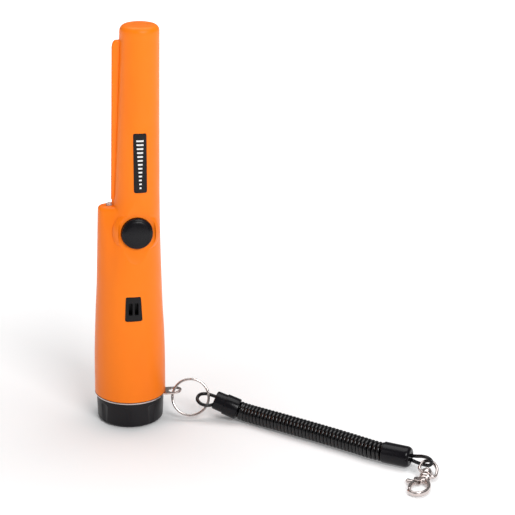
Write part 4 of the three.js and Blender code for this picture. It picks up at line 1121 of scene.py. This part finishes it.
@dataclass
class RingAndWasher:
    """The split ring and the washer with its eye."""

    finishes: Finishes
    centre: Point = (35.2, -10.2, 13.3)
    normal: Point = (-0.15, -0.9, 0.4)
    radius: float = 10.9
    wire: float = 1.3
    wire_gap: float = 0.3
    first_turn: float = 0.03
    turns: float = 1.94
    turn_points: int = 176
    washer_low: float = 15.9
    washer_thickness: float = 0.9
    washer_bore: float = 18.35
    washer_radius: float = 21.2
    washer_edge: float = 0.14
    tab_angle: float = -15.0
    tab_bend: float = 6.0
    tab_width: float = 9.4
    tab_edge: float = 0.13
    eye_reach: float = 26.5
    eye_radius: float = 3.1

    def _ring(self) -> Form:
        """The wire wound nearly twice round.

        Returns:
            The ring in its place.
        """
        path = []
        for i in range(self.turn_points + 1):
            turns = self.first_turn + self.turns * i / self.turn_points
            turn = 2 * math.pi * turns
            path.append(Vector((self.radius * math.cos(turn), self.radius * math.sin(turn),
                                (self.wire + self.wire_gap) * (turns - 1))))
        ring = Form.swept(path, [(self.wire / 2 * 1.2, self.wire / 2)], 16, 0.75).turned(90, "Z")
        return ring.laid(self.centre, Vector(self.centre) + Vector(self.normal))

    def _washer(self) -> Form:
        """The flat ring with its bent tab and eye.

        Returns:
            The washer in its place.
        """
        low, high = self.washer_low, self.washer_low + self.washer_thickness
        edge, inner, outer = self.washer_edge, self.washer_bore, self.washer_radius
        first = (inner, low + edge)
        washer = Form.spun([
            first, (inner + edge, low), (outer - edge, low), (outer, low + edge),
            (outer, high - edge), (outer - edge, high), (inner + edge, high),
            (inner, high - edge), first], 160)
        start = outer - 0.9
        length = self.eye_reach - start
        half = self.tab_width / 2
        root = half + 0.7
        round_end = [(length + half * math.sin(turn), -half * math.cos(turn))
                     for turn in arc(32, math.pi)]
        outline = [(-0.8, root), (-0.8, -root), (1.0, -half - 0.1), *round_end, (1.0, half + 0.1)]
        tab = Form.plate(outline, self.washer_thickness, self.tab_edge,
                         (length, 0, self.eye_radius))
        tab.turned(-self.tab_bend, "Y").shifted(start, 0, low + 0.02).turned(self.tab_angle, "Z")
        return washer.work(tab, Join.ADD)

    def build(self) -> None:
        """Makes both pieces."""
        wire, nickel = self.finishes.wire.material(), self.finishes.nickel.material()
        self._ring().piece("wire_ring", "ring", "nickel", wire, "split_ring")
        self._washer().piece("tab_washer", "washer", "nickel", nickel, "lanyard_washer")


@dataclass
class Clasp:
    """The swivel eye, the hook and its spring gate, made along +X from the post."""

    finishes: Finishes
    eye_place: Point = (153, -112.6, 4)
    height: float = 2.1
    turn: float = -123.0
    eye_tilt: float = -24.0
    eye_rise: float = 15.0
    pivot: Point = (7.2, -3.1, 0)
    post_reach: Point = (4.4, 0, 0)
    post_bore: float = 1.6
    pin_bore: float = 0.9
    gate_bore: float = 0.75
    bore_reach: float = 5

    @property
    def post_from(self) -> Vector:
        """Where the post leaves the eye."""
        return Vector((0, 0, self.eye_place[2] - self.height))

    def build(self) -> list[bpy.types.Object]:
        """Makes the eye, the hook and the gate and returns them.

        Returns:
            The three pieces.
        """
        metal = self.finishes.nickel.material()
        x, y, _ = self.eye_place
        return [form.turned(self.turn, "Z").shifted(x, y, self.height)
                .piece(name, body, "nickel", metal, node)
                for form, name, body, node in (
                    (self._eye(), "swivel_loop", "eye", "swivel_eye"),
                    (self._hook(), "hook", "clasp", "clasp_body"),
                    (self._gate(), "hook_gate", "gate", "clasp_gate"))]

    def _eye(self) -> Form:
        """The D loop with the boss that turns on the post.

        Returns:
            The eye in the clasp's own frame.
        """
        bow = flat_line([(0.1, -4.2), (-1.2, -5.0), (-4.4, -4.95), (-7.6, -4.0), (-9.6, -2.0),
                         (-10.15, 0), (-9.6, 2.0), (-7.6, 4.0), (-4.4, 4.95), (-1.2, 5.0),
                         (0.1, 4.2)], 60)
        bar = flat_line([(0.1, 4.2), (0.35, 2.6), (0.35, -2.6), (0.1, -4.2)], 24)
        line = evenly([*bow, *bar[1:]], 90)[:-1]
        loop = Form.swept(line, [(0.86, 1.1)], 20, 0.8, closed=True)
        loop.turned(self.eye_tilt, "X").turned(self.eye_rise, "Y").shifted(*self.post_from)
        boss = Form.spun([(0, -1.5), (2.7, -1.5), (3.0, -1.4), (3.15, -1.1), (3.15, 1.0),
                          (3.0, 1.22), (2.7, 1.3), (0, 1.3)], 64)
        loop.work(boss.laid(self.post_from, self.post_reach), Join.ADD)
        bore = Form.rod(self.post_bore, -6, 6, 48)
        return loop.work(bore.laid(self.post_from, self.post_reach), Join.CUT)

    def _hook(self) -> Form:
        """The hook's bow, its neck, the fork of its pivot and the post.

        Returns:
            The hook in the clasp's own frame.
        """
        count = 64
        bow = flat_line([(3.9, 0.3), (6.2, 1.7), (8.9, 3.7), (11.5, 4.9), (14.5, 5.2),
                         (18.0, 4.75), (20.8, 3.1), (22.3, 0.6), (22.2, -1.6), (21.3, -3.4),
                         (20.5, -4.3)], count)
        sizes = []
        for share in (i / (count - 1) for i in range(count)):
            wide = 2.0 + (1.02 - 2.0) * min(share / 0.32, 1) ** 0.8
            sizes.append((wide, 1.7 - 0.25 * share - 0.25 * max(share - 0.85, 0) / 0.15))
        hook = Form.swept(bow, sizes)
        neck = flat_line([(3.6, 0.1), (5.0, -0.3), (6.4, -1.3), (7.2, -2.4)], 24)
        hook.work(Form.swept(neck, [(2.1, 1.62)]), Join.ADD)
        cheek = Form.spun([(0, -1.7), (1.9, -1.7), (2.2, -1.6), (2.3, -1.3), (2.3, 1.3),
                           (2.2, 1.6), (1.9, 1.7), (0, 1.7)], 64)
        hook.work(cheek.shifted(*self.pivot), Join.ADD)
        slot = Form.rod(3.3, -0.95, 0.95, 64).shifted(*self.pivot).shifted(0.9, -1.1, 0)
        hook.work(slot, Join.CUT)
        bore = Form.rod(self.pin_bore, -self.bore_reach, self.bore_reach, 32)
        hook.work(bore.shifted(*self.pivot), Join.CUT)
        start = self.post_from
        way = (Vector(self.post_reach) - start).normalized()
        girths = {1.9: (3.3, 2.45), 2.3: (3.5, 2.5), 2.9: (3.45, 2.4), 3.3: (2.9, 2.15),
                  3.7: (2.85, 2.05), 4.1: (3.35, 2.05), 4.8: (3.5, 1.95), 5.6: (3.2, 1.85),
                  6.4: (2.6, 1.75), 7.0: (2.0, 1.7)}
        barrel = [start + way * reach for reach in girths]
        for place in barrel:
            place.z = max(place.z, 0.0)
        hook.work(Form.swept(barrel, list(girths.values()), 32, 0.9), Join.ADD)
        post = Form.spun([(0, -3.25), (1.2, -3.25), (1.75, -3.1), (2.05, -2.75), (2.05, -2.5),
                          (1.85, -2.2), (1.3, -2.1), (1.3, 4.2), (0, 4.2)], 48)
        return hook.work(post.laid(start, self.post_reach), Join.ADD)

    def _gate(self) -> Form:
        """The gate's arm, its leaf on the pivot and the thumb lever.

        Returns:
            The gate in the clasp's own frame.
        """
        count = 40
        arm = flat_line([(9.9, -4.3), (12.0, -5.0), (14.5, -5.2), (17.0, -4.95), (18.6, -4.4)],
                        count)
        sizes = [(1.0, 1.5 - 0.15 * i / (count - 1)) for i in range(count)]
        gate = Form.swept(arm, sizes)
        leaf = flat_line([(7.2, -3.1), (8.6, -3.6), (10.4, -4.5)], 16)
        gate.work(Form.swept(leaf, [(1.75, 0.62)], squareness=0.7), Join.ADD)
        count = 20
        lever = flat_line([(9.2, -4.4), (9.25, -6.2), (9.1, -7.6), (8.95, -8.5)], count)
        spread = [(1.25 + 0.45 * (i / (count - 1)) ** 2, 1.15 - 0.1 * i / (count - 1))
                  for i in range(count)]
        gate.work(Form.swept(lever, spread, squareness=0.75), Join.ADD)
        bore = Form.rod(self.gate_bore, -self.bore_reach, self.bore_reach, 32)
        return gate.work(bore.shifted(*self.pivot), Join.CUT)


# ---------------------------------------------------------------- housing


@dataclass
class HousingShape:
    """The housing's outer form as sections up its height."""

    length: float = 240.0
    foot: float = 17.2
    base_radius: float = 21.0
    neck_radius: float = 13.3
    tip_radius: float = 11.25
    neck_shift: float = 5.1
    tip_shift: float = 7.65
    tip_edge: float = 3.6
    ledge_top: float = 134.5
    ledge_reach: float = 17.6
    nose_radius: float = 4.8
    ledge_edge: float = 2.4
    ledge_fillet: float = 1.6
    neck_rise: float = 5.5
    flare: tuple = ((0, 1), (0.21, 0.974), (0.37, 0.883), (0.5, 0.78), (0.71, 0.526),
                    (0.89, 0.234), (1.05, 0))
    shift: tuple = ((0, 0), (0.21, 0), (0.37, 0.02), (0.5, 0.06), (0.71, 0.31), (0.89, 0.67),
                    (1.05, 1))
    nose: tuple = ((0, 1), (0.2, 1), (0.33, 0.92), (0.43, 0.75), (0.56, 0.6), (0.67, 0.5),
                   (0.78, 0.39), (0.89, 0.24), (1, 0))
    slope: tuple = ((0, 80), (0.2, 80), (0.33, 60), (0.43, 45), (0.56, 35), (0.67, 25),
                    (1, 21.4))

    @staticmethod
    def through(stations: Sequence[tuple[float, float]], place: float) -> float:
        """A smooth curve through stations, level past its ends.

        Args:
            stations: places and values, in order.
            place: where the value is wanted.

        Returns:
            The value there.
        """
        last = len(stations) - 1
        if place <= stations[0][0]:
            return stations[0][1]
        if place >= stations[last][0]:
            return stations[last][1]

        def slope(i: int) -> float:
            """The curve's slope at a station."""
            a, b = stations[max(i - 1, 0)], stations[min(i + 1, last)]
            return (b[1] - a[1]) / (b[0] - a[0])

        i = next(k for k in range(last) if stations[k + 1][0] > place)
        span = stations[i + 1][0] - stations[i][0]
        t = (place - stations[i][0]) / span
        rise = t * t * (3 - 2 * t)
        return (stations[i][1] * (1 - rise) + stations[i + 1][1] * rise
                + span * (t * (1 - t) ** 2 * slope(i) - t * t * (1 - t) * slope(i + 1)))

    @staticmethod
    def edge_draw(size: float, past: float) -> float:
        """How far a rounded edge has drawn in at a distance past its start."""
        t = min(max(past / size, 0), 1)
        return size * (1 - math.sqrt(1 - t * t))

    def share(self, height: float) -> float:
        """How far up from the foot to the ledge's top a height is."""
        return (height - self.foot) / (self.ledge_top - self.foot)

    def centre(self, height: float) -> float:
        """x of the round section's middle.

        Args:
            height: z of the section.

        Returns:
            The x.
        """
        neck = self.ledge_top + self.neck_rise
        past = max((height - neck) / (self.length - neck), 0)
        lower = self.neck_shift * self.through(self.shift, self.share(height))
        return lower + (self.tip_shift - self.neck_shift) * past

    def radius(self, height: float) -> float:
        """Radius of the round section.

        Args:
            height: z of the section.

        Returns:
            The radius.
        """
        neck = self.ledge_top + self.neck_rise
        past = max((height - neck) / (self.length - neck), 0)
        flare = (self.base_radius - self.neck_radius) * self.through(self.flare, self.share(height))
        return self.neck_radius + flare + (self.tip_radius - self.neck_radius) * past

    def ledge(self, height: float, angle: float, inset: float) -> float:
        """Distance from the section's middle to the ledge's skin.

        Args:
            height: z of the section.
            angle: direction from its middle.
            inset: how far the skin is drawn in.

        Returns:
            The distance.
        """
        u = self.share(height)
        past = height + inset - (self.ledge_top - self.ledge_edge)
        drawn = inset + self.edge_draw(self.ledge_edge, past)
        nose = self.nose_radius + (self.base_radius - self.nose_radius) * self.through(self.nose, u)
        wide = self.base_radius - 0.7
        reach = self.ledge_reach + (wide - self.ledge_reach) * min((1 - u) / 0.8, 1)
        radius = nose - drawn
        slope = math.radians(self.through(self.slope, u))
        offset = nose - reach - self.centre(height)
        cos, sin = math.cos(angle), abs(math.sin(angle))
        square = radius * radius - (offset * sin) ** 2
        if cos < 0 and square >= 0:
            hit = offset * cos + math.sqrt(square)
            if hit * cos - offset <= -math.sin(slope) * radius:
                return hit
        side = radius - math.sin(slope) * offset
        if math.cos(slope) * cos + math.sin(slope) * sin > 0:
            return side
        return side / (math.cos(slope) * sin - math.sin(slope) * cos)

    def front(self, height: float, x: float) -> float:
        """y of the front skin."""
        square = self.radius(height) ** 2 - (x - self.centre(height)) ** 2
        return -math.sqrt(max(square, 0.01))

    def lower(self, inset: float, foot: float, sides: int, rings: int) -> Form:
        """The flared part with the ledge, drawn in by an inset.

        Args:
            inset: how far the skin is drawn in.
            foot: z where it starts.
            sides: vertices in each ring.
            rings: steps up to the rounded edge.

        Returns:
            The closed form.
        """
        top = self.ledge_top - inset
        start = top - self.ledge_edge
        heights = [foot + (start - foot) * i / rings for i in range(rings + 1)]
        heights += [start + self.ledge_edge * math.sin(turn) for turn in arc(8)[1:]]

        def reach(height: float, angle: float) -> float:
            """The skin's distance from the middle, with a small fillet by the ledge.

            Args:
                height: z of the section.
                angle: direction from its middle.

            Returns:
                The distance.
            """
            main = self.radius(height) - inset
            ledge = self.ledge(height, angle, inset)
            near = max(self.ledge_fillet - abs(main - ledge), 0) / self.ledge_fillet
            return max(main, ledge) + near * near * self.ledge_fillet / 4

        return Form.stack(sides, heights, self.centre, reach)

    def upper(self, inset: float, sides: int, rings: int) -> Form:
        """The round tube above the ledge, drawn in by an inset.

        Args:
            inset: how far the skin is drawn in.
            sides: vertices in each ring.
            rings: steps up to the rounded tip.

        Returns:
            The closed form.
        """
        low, start = self.ledge_top - inset - 6, self.length - inset - self.tip_edge
        heights = [low + (start - low) * i / rings for i in range(rings + 1)]
        heights += [start + self.tip_edge * math.sin(turn) for turn in arc(10)[1:]]

        def reach(height: float, _angle: float) -> float:
            """The skin's distance from the middle."""
            return self.radius(height) - inset - self.edge_draw(self.tip_edge, height - start)

        return Form.stack(sides, heights, self.centre, reach)


@dataclass
class Housing:
    """The two shells with their blade, button seat and openings."""

    finishes: Finishes
    shape: HousingShape = field(default_factory=HousingShape)
    wall: float = 2.2
    split: float = 0.15
    cavity_foot: float = 28.8
    mouth_bore: float = 17.45
    mouth_top: float = 29.4
    socket_bore: float = 18.6
    blade_thickness: float = 3.4
    blade_foot: float = 9.95
    blade_tip: float = 8.2
    blade_drop: float = 8.6
    blade_corner: Point = (2.6, 4.2)
    blade_edge: float = 1.25
    button_height: float = 121.0
    button_radius: float = 9.0
    button_tilt: float = 5.7
    button_gap: float = 0.3
    seat_lip: float = 1.35
    dish_size: Point = (11.0, 24.0, 6.0)
    dish_lift: float = 4.0
    lamp_x: float = -11.0
    lamp_bore: float = 2.05
    lamp_rim: float = 2.3
    sides: int = 176

    def button_frame(self) -> Matrix:
        """The button's frame: origin on the skin, +Z along the outward normal.

        Returns:
            The frame as a matrix.
        """
        x = self.shape.centre(self.button_height)
        place = (x, self.shape.front(self.button_height, x), self.button_height)
        turn = math.pi / 2 - math.radians(self.button_tilt)
        return Matrix.Translation(place) @ Matrix.Rotation(turn, 4, "X")

    def _blade(self) -> Form:
        """The scraping blade along the tube's left side.

        Returns:
            The blade in its place.
        """
        top = self.shape.length - self.blade_drop
        low = self.shape.ledge_top - 1
        rate = (self.blade_foot - self.blade_tip) / (top - self.shape.ledge_top)

        def edge(height: float) -> float:
            """x of the blade's edge."""
            return -self.blade_tip - rate * (top - height)

        wide, tall = self.blade_corner
        inner = self.shape.centre(top) - self.shape.tip_radius + 1.4
        corner = [(edge(top - tall), top - tall)]
        for turn in arc(11)[1:]:
            corner.append((edge(top) + wide * (1 - math.cos(turn)),
                           top - tall * (1 - math.sin(turn))))
        root = self.shape.centre(low) - self.shape.neck_radius + 1.2
        outline = [(root, low), (inner, top), *reversed(corner), (edge(low), low)]
        blade = Form.plate(outline, self.blade_thickness)
        blade.shifted(0, 0, -self.blade_thickness / 2).rounded(self.blade_edge, 55, 5)
        return blade.moved(FACING)

    def _seat(self) -> Form:
        """The smooth rise round the button.

        Returns:
            The seat in its place.
        """
        top = self.button_radius + self.seat_lip
        profile = [(0, -5.0), (top + 3.4, -5.0), (top + 3.05, -4.0), (top + 2.6, -3.2),
                   (top + 1.9, -2.3), (top + 1.1, -1.35), (top + 0.5, -0.65), (top, -0.25),
                   (top - 0.5, -0.15), (0, -0.15)]
        seat = Form.spun(profile, 128).moved(self.button_frame())
        return seat.work(Form.block((-60, -60, 60), (60, -9, 190)), Join.KEEP)

    def _dish(self) -> Form:
        """The long shallow dish that runs above and below the button.

        Returns:
            The dish's cutter in its place.
        """
        profile = [(math.sin(turn), -math.cos(turn)) for turn in arc(40, math.pi)]
        profile[0], profile[-1] = (0, -1), (0, 1)
        dish = Form.spun(profile).moved(Matrix.Diagonal((*self.dish_size, 1)))
        dish.shifted(0, 0, self.dish_lift)
        skin = self.shape.radius(self.button_height)

        def wrapped(place: Vector) -> Vector:
            """Bends the dish round the tube."""
            across = min(abs(place.x), 0.95 * skin)
            return place - UP * (skin - math.sqrt(skin * skin - across * across))

        return dish.bent(wrapped).moved(self.button_frame())

    def _openings(self) -> Iterable[Form]:
        """The hollow inside and every opening into it, in the order they are cut.

        Returns:
            The cutters.
        """
        yield self._dish()
        hollow = self.shape.lower(self.wall, self.cavity_foot, 72, 30)
        yield hollow.work(self.shape.upper(self.wall, 72, 16), Join.ADD)
        foot = self.shape.foot
        yield Form.spun([(0, foot - 1), (self.socket_bore, foot - 1),
                         (self.socket_bore, foot + 2.1), (self.mouth_bore, foot + 3),
                         (self.mouth_bore, self.mouth_top), (0, self.mouth_top)], 128)
        bore = self.button_radius + self.button_gap
        hole = Form.spun([(0, -9), (bore + 1, -9), (bore + 1, -3.4), (bore, -3.4), (bore, 6),
                          (0, 6)], 128)
        yield hole.moved(self.button_frame())
        ledge = self.shape.ledge_top
        lamp = Form.spun([(0, 128), (self.lamp_bore, 128), (self.lamp_bore, ledge - 0.2),
                          (self.lamp_rim, ledge + 0.05), (self.lamp_rim, 138), (0, 138)], 64)
        yield lamp.shifted(self.lamp_x, 0, 0)
        yield SpeakerWindow(self.finishes).opening()
        yield LabelPlate(self.finishes).pocket()

    def whole(self) -> Form:
        """The housing with its openings, before it is split.

        Returns:
            The uncut housing.
        """
        body = self.shape.lower(0, self.shape.foot, self.sides, 120)
        for part in (self.shape.upper(0, self.sides, 60), self._blade(), self._seat()):
            body.work(part, Join.ADD)
        for opening in self._openings():
            body.work(opening, Join.CUT)
        return body

    def build(self) -> None:
        """Makes both shells."""
        material = self.finishes.housing.material()
        mesh = self.whole().mesh("whole")
        for name, low, high, node in (
                ("shell_front", (-80, -80, -5), (80, -self.split, 250), "front_shell"),
                ("shell_rear", (-80, self.split, -5), (80, 80, 250), "rear_shell")):
            half = Form()
            half.bm.from_mesh(mesh)
            half.work(Form.block(low, high), Join.KEEP)
            half.piece(name, "housing", "housing", material, node, crease=28)
        bpy.data.meshes.remove(mesh)


@dataclass
class LabelPlate:
    """The film plate on the front of the tube."""

    finishes: Finishes
    shape: HousingShape = field(default_factory=HousingShape)
    low: float = 145.0
    height: float = 34.8
    width: float = 7.4
    corner: float = 1.1
    gap: float = 0.15
    edge: float = 0.12

    def _grid(self, margin: float, outer: float, inner: float) -> Form:
        """A rounded plate that follows the skin, from one depth to another.

        Args:
            margin: how far it is grown past the label's outline.
            outer: how far its face stands out of the skin.
            inner: how far its back lies under the skin.

        Returns:
            The plate.
        """
        form = Form()
        half_w, half_h = self.width / 2 + margin, self.height / 2 + margin
        middle = self.low + self.height / 2
        centre = self.shape.centre(middle)
        made = bmesh.ops.create_grid(form.bm, x_segments=30, y_segments=130, size=1)["verts"]
        for vert in made:
            x, z = vert.co.x * half_w, vert.co.y * half_h
            a = (abs(x) - (half_w - self.corner)) / self.corner
            b = (abs(z) - (half_h - self.corner)) / self.corner
            if a > 0 and b > 0:
                a, b = a * math.sqrt(1 - b * b / 2), b * math.sqrt(1 - a * a / 2)
                x = math.copysign(half_w - self.corner + a * self.corner, x)
                z = math.copysign(half_h - self.corner + b * self.corner, z)
            vert.co = (x, z, 0)
        form.raised(list(form.bm.faces), 1)
        if margin <= 0:
            form.rounded(self.edge, 60, 2)

        def laid_on(place: Vector) -> Vector:
            """Lays a point of the flat plate on the skin."""
            x, z = centre + place.x, middle + place.y
            depth = -inner + (outer + inner) * place.z
            return Vector((x, self.shape.front(z, x) - depth, z))

        return form.bent(laid_on).turned_out()

    def pocket(self) -> Form:
        """The recess that the plate sits in."""
        return self._grid(self.gap, 3.0, 0.75)

    def build(self) -> None:
        """Makes the plate."""
        centre = self.shape.centre(self.low + self.height / 2)
        film = PrintedFilm("label film", centre, self.low, self.height).material()
        self._grid(0.0, 0.15, 0.6).piece("label", "housing", "label", film, "label_plate")


@dataclass
class SpeakerWindow:
    """The black window with two slots over the sounder."""

    finishes: Finishes
    shape: HousingShape = field(default_factory=HousingShape)
    low: float = 68.7
    height: float = 14.6
    foot_width: float = 9.9
    top_width: float = 8.6
    x: float = 0.2
    depth: float = 2.6
    corner: float = 0.9
    gap: float = 0.18
    slot_width: float = 2.3
    slot_height: float = 7.3
    slot_spacing: float = 3.5
    slot_edge: float = 0.5

    def _outline(self, margin: float) -> list[tuple[float, float]]:
        """The window's outline with round corners.

        Args:
            margin: how far it is grown past the window.

        Returns:
            Points of (x, z) in order.
        """
        foot, top, high = self.foot_width / 2, self.top_width / 2, self.low + self.height
        corners = [(-foot, self.low), (foot, self.low), (top, high), (-top, high)]
        points = []
        for i, (across, z) in enumerate(corners):
            middle_x = self.x + across - math.copysign(self.corner, across)
            middle_z = z + (self.corner if i < 2 else -self.corner)
            for turn in arc(6):
                turn += math.pi + math.pi / 2 * i
                reach = self.corner + margin
                points.append((middle_x + reach * math.cos(turn),
                               middle_z + reach * math.sin(turn)))
        return points

    def _column(self, margin: float) -> Form:
        """The outline pushed through the wall."""
        near, far = -26, -10
        return Form.plate(self._outline(margin), far - near).shifted(0, 0, -far).moved(FACING)

    def opening(self) -> Form:
        """The hole through the housing's wall."""
        return self._column(self.gap)

    def build(self) -> None:
        """Makes the window."""
        face = self.shape.lower(0.1, 60, 200, 60)
        face.work(Form.block((-40, -40, 64), (40, -12, 90)), Join.KEEP)
        inner = self.shape.lower(self.depth, 50, 100, 40)
        window = self._column(0).work(face, Join.KEEP).work(inner, Join.CUT)
        middle = self.low + self.height / 2
        half, rise = self.slot_width / 2, self.slot_height / 2
        for side in (-0.5, 0.5):
            x = self.x + side * self.slot_spacing
            slot = Form.block((x - half, -30, middle - rise), (x + half, -8, middle + rise))
            corners = [edge for edge in slot.bm.edges
                       if abs((edge.verts[0].co - edge.verts[1].co).normalized().y) > 0.9]
            window.work(slot.bevelled(corners, self.slot_edge, 4), Join.CUT)
        trim = self.finishes.trim.material()
        window.piece("speaker_window", "housing", "black_plastic", trim, "speaker_grille")


@dataclass
class ButtonAndLamp:
    """The domed power button and the lens on the ledge."""

    finishes: Finishes
    housing: Housing
    crown_reach: float = 7.6
    crown_low: float = 0.95
    crown_rise: float = 0.95
    flange: float = 0.9
    lens_radius: float = 1.75
    lens_rise: float = 1.6
    lens_rim: float = 0.4
    lens_rim_height: float = 1.2
    lens_depth: float = 4.4

    def _button(self) -> Form:
        """The domed key with its flange and the stem to the plunger.

        Returns:
            The button in its place.
        """
        radius = self.housing.button_radius
        wide = radius + self.flange
        dome = [(radius - 0.06, 0.1), (radius - 0.22, 0.32), (radius - 0.5, 0.52),
                (radius - 0.95, 0.72)]
        crown = [(self.crown_reach * math.cos(0.12 * i),
                  self.crown_low + self.crown_rise * math.sin(0.12 * i)) for i in range(1, 13)]
        profile = [(0, -8.1), (2.3, -8.1), (2.6, -7.8), (2.6, -4.4), (wide - 0.2, -4.4),
                   (wide, -4.2), (wide, -3.7), (radius, -3.7), (radius, -0.1), *dome, *crown,
                   (0, self.crown_low + self.crown_rise)]
        return Form.spun(profile, 128).moved(self.housing.button_frame())

    def _lens(self) -> Form:
        """The clear dome with its rim under the ledge.

        Returns:
            The lens in its place.
        """
        ledge = self.housing.shape.ledge_top
        radius, rim = self.lens_radius, self.lens_radius + self.lens_rim
        top, low = ledge + self.lens_rise, ledge - self.lens_depth
        shoulder = low + self.lens_rim_height
        dome = [(radius * math.cos(turn), top - radius * (1 - math.sin(turn)))
                for turn in arc(10)[:-1]]
        lens = Form.spun([(0, low), (rim, low), (rim, shoulder), (radius, shoulder), *dome,
                          (0, top)], 64)
        return lens.shifted(self.housing.lamp_x, 0, 0)

    def build(self) -> None:
        """Makes both pieces."""
        rubber, clear = self.finishes.button.material(), self.finishes.lens.material()
        self._button().piece("push_button", "button", "rubber", rubber, "power_button")
        self._lens().piece("lamp_dome", "housing", "lens", clear, "lamp_lens")


@dataclass
class ScrewCap:
    """The battery cap with its grips, boss and thread."""

    finishes: Finishes
    radius: float = 20.15
    height: float = 15.5
    foot_round: float = 2.2
    floor: float = 2.8
    neck: float = 16.15
    boss: float = 17.05
    boss_top: float = 28.0
    bore: float = 15.45
    scallops: int = 8
    scallop_turn: float = -13.0
    scallop_radius: float = 9.0
    scallop_depth: float = 0.55
    scallop_drop: float = 2.2
    thread_low: float = 22.2
    thread_turns: float = 1.25
    thread_pitch: float = 3.0
    thread_height: float = 0.8
    thread_steps: int = 144
    thread_fade: int = 10

    def _body(self) -> Form:
        """The turned cap with its boss.

        Returns:
            The cap before it is cut.
        """
        foot, size = self.radius - 0.5, self.foot_round
        corner = [(foot - size * (1 - math.sin(turn)), size * (1 - math.cos(turn)))
                  for turn in arc(10)]
        rim = [(self.radius - draw, self.height - drop)
               for draw, drop in ((0, 0.9), (0.08, 0.4), (0.3, 0.1), (0.6, 0))]
        boss, top = self.boss, self.boss_top
        return Form.spun([
            (0, 0.5), (14.4, 0.5), (14.8, 0.35), (15.1, 0), *corner, *rim,
            (self.neck, self.height), (self.neck, 19.2), (boss, 19.7), (boss, top - 0.6),
            (boss - 0.2, top - 0.2), (boss - 0.6, top), (self.bore, top),
            (self.bore, self.floor), (0, self.floor)], 224)

    def _grip(self, turn: float) -> Form:
        """One scallop's cutter at an angle.

        Args:
            turn: where it stands round the cap.

        Returns:
            The cutter.
        """
        reach = self.radius - 0.25 + self.scallop_radius - self.scallop_depth
        top, wide = self.height - self.scallop_drop, self.scallop_radius
        profile = [(0, -1), (wide, -1), (wide, top - 1.2), (wide - 0.35, top - 0.4),
                   (wide - 1.0, top), (0, top)]
        return Form.spun(profile, 128).shifted(reach * math.sin(turn), -reach * math.cos(turn), 0)

    def _thread(self) -> Form:
        """The thread's ridge, which fades out at both ends.

        Returns:
            The ridge in its place.
        """
        path, sizes = [], []
        for i in range(self.thread_steps + 1):
            turns = self.thread_turns * i / self.thread_steps
            turn = 2 * math.pi * turns
            path.append(Vector((self.boss * math.cos(turn), self.boss * math.sin(turn),
                                self.thread_low + self.thread_pitch * turns)))
            full = min(1, i / self.thread_fade, (self.thread_steps - i) / self.thread_fade)
            sizes.append((self.thread_height * full + 0.05,) * 2)
        return Form.swept(path, sizes, 12, 1.0)

    def build(self) -> None:
        """Makes the cap."""
        cap = self._body()
        for i in range(self.scallops):
            turn = math.radians(self.scallop_turn + i * 360 / self.scallops)
            cap.work(self._grip(turn), Join.CUT)
        cap.work(self._thread(), Join.ADD)
        satin = self.finishes.cap.material()
        cap.piece("screw_cap", "cap", "black_plastic", satin, "battery_cap", crease=24)


@dataclass
class InnerWorks:
    """Finishes for the CAD nodes that keep their own meshes."""

    finishes: Finishes

    def dress(self) -> None:
        """Gives every carried-over node its finish."""
        finish = self.finishes
        groups = {
            finish.trim: ["sounder"],
            finish.foam: ["battery_pad", "tip_pad"],
            finish.seal: ["seal_ring", "battery_snap"],
            finish.battery: ["battery"],
            finish.red: ["red_lead"],
            finish.black: ["black_lead"],
            finish.board: ["main_board"],
            finish.steel: ["board_screw_1", "board_screw_2", "capacitor_1", "capacitor_2",
                           "lamp_lead_1", "lamp_lead_2", "vibration_motor", "motor_weight",
                           "gate_pin"],
            finish.chip: ["controller_chip", "tact_switch"],
            finish.cream: ["switch_plunger", "lamp_emitter", "coil_bobbin"],
            finish.ferrite: ["ferrite_rod"],
            finish.copper: ["receive_winding", "transmit_winding", "coil_lead_1", "coil_lead_2"],
        }
        for look, nodes in groups.items():
            material = look.material()
            for node in nodes:
                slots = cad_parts[node].data.materials
                slots.clear()
                slots.append(material)
                log.info("%s: %s", node, material.name)


def write_size() -> None:
    """Works out the CAD box and the visual model's box, in metres."""
    boxes = [[list(corner) for corner in box] for box in (CAD_BOX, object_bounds())]


def main() -> None:
    """Builds the stage and every sub-assembly."""
    logging.basicConfig(level=logging.INFO, format="%(name)s %(message)s")
    finishes = Finishes()
    studio = Studio()
    studio.camera()
    lanyard = Lanyard(finishes)
    lanyard.cords()
    studio.floor()
    studio.lights()
    sleeves = lanyard.ferrules()
    RingAndWasher(finishes).build()
    clasp = Clasp(finishes).build()
    lanyard.declare()
    housing = Housing(finishes)
    housing.build()
    LabelPlate(finishes).build()
    SpeakerWindow(finishes).build()
    ButtonAndLamp(finishes, housing).build()
    ScrewCap(finishes).build()
    InnerWorks(finishes).dress()
    write_size()


if __name__ == "__main__":
    main()
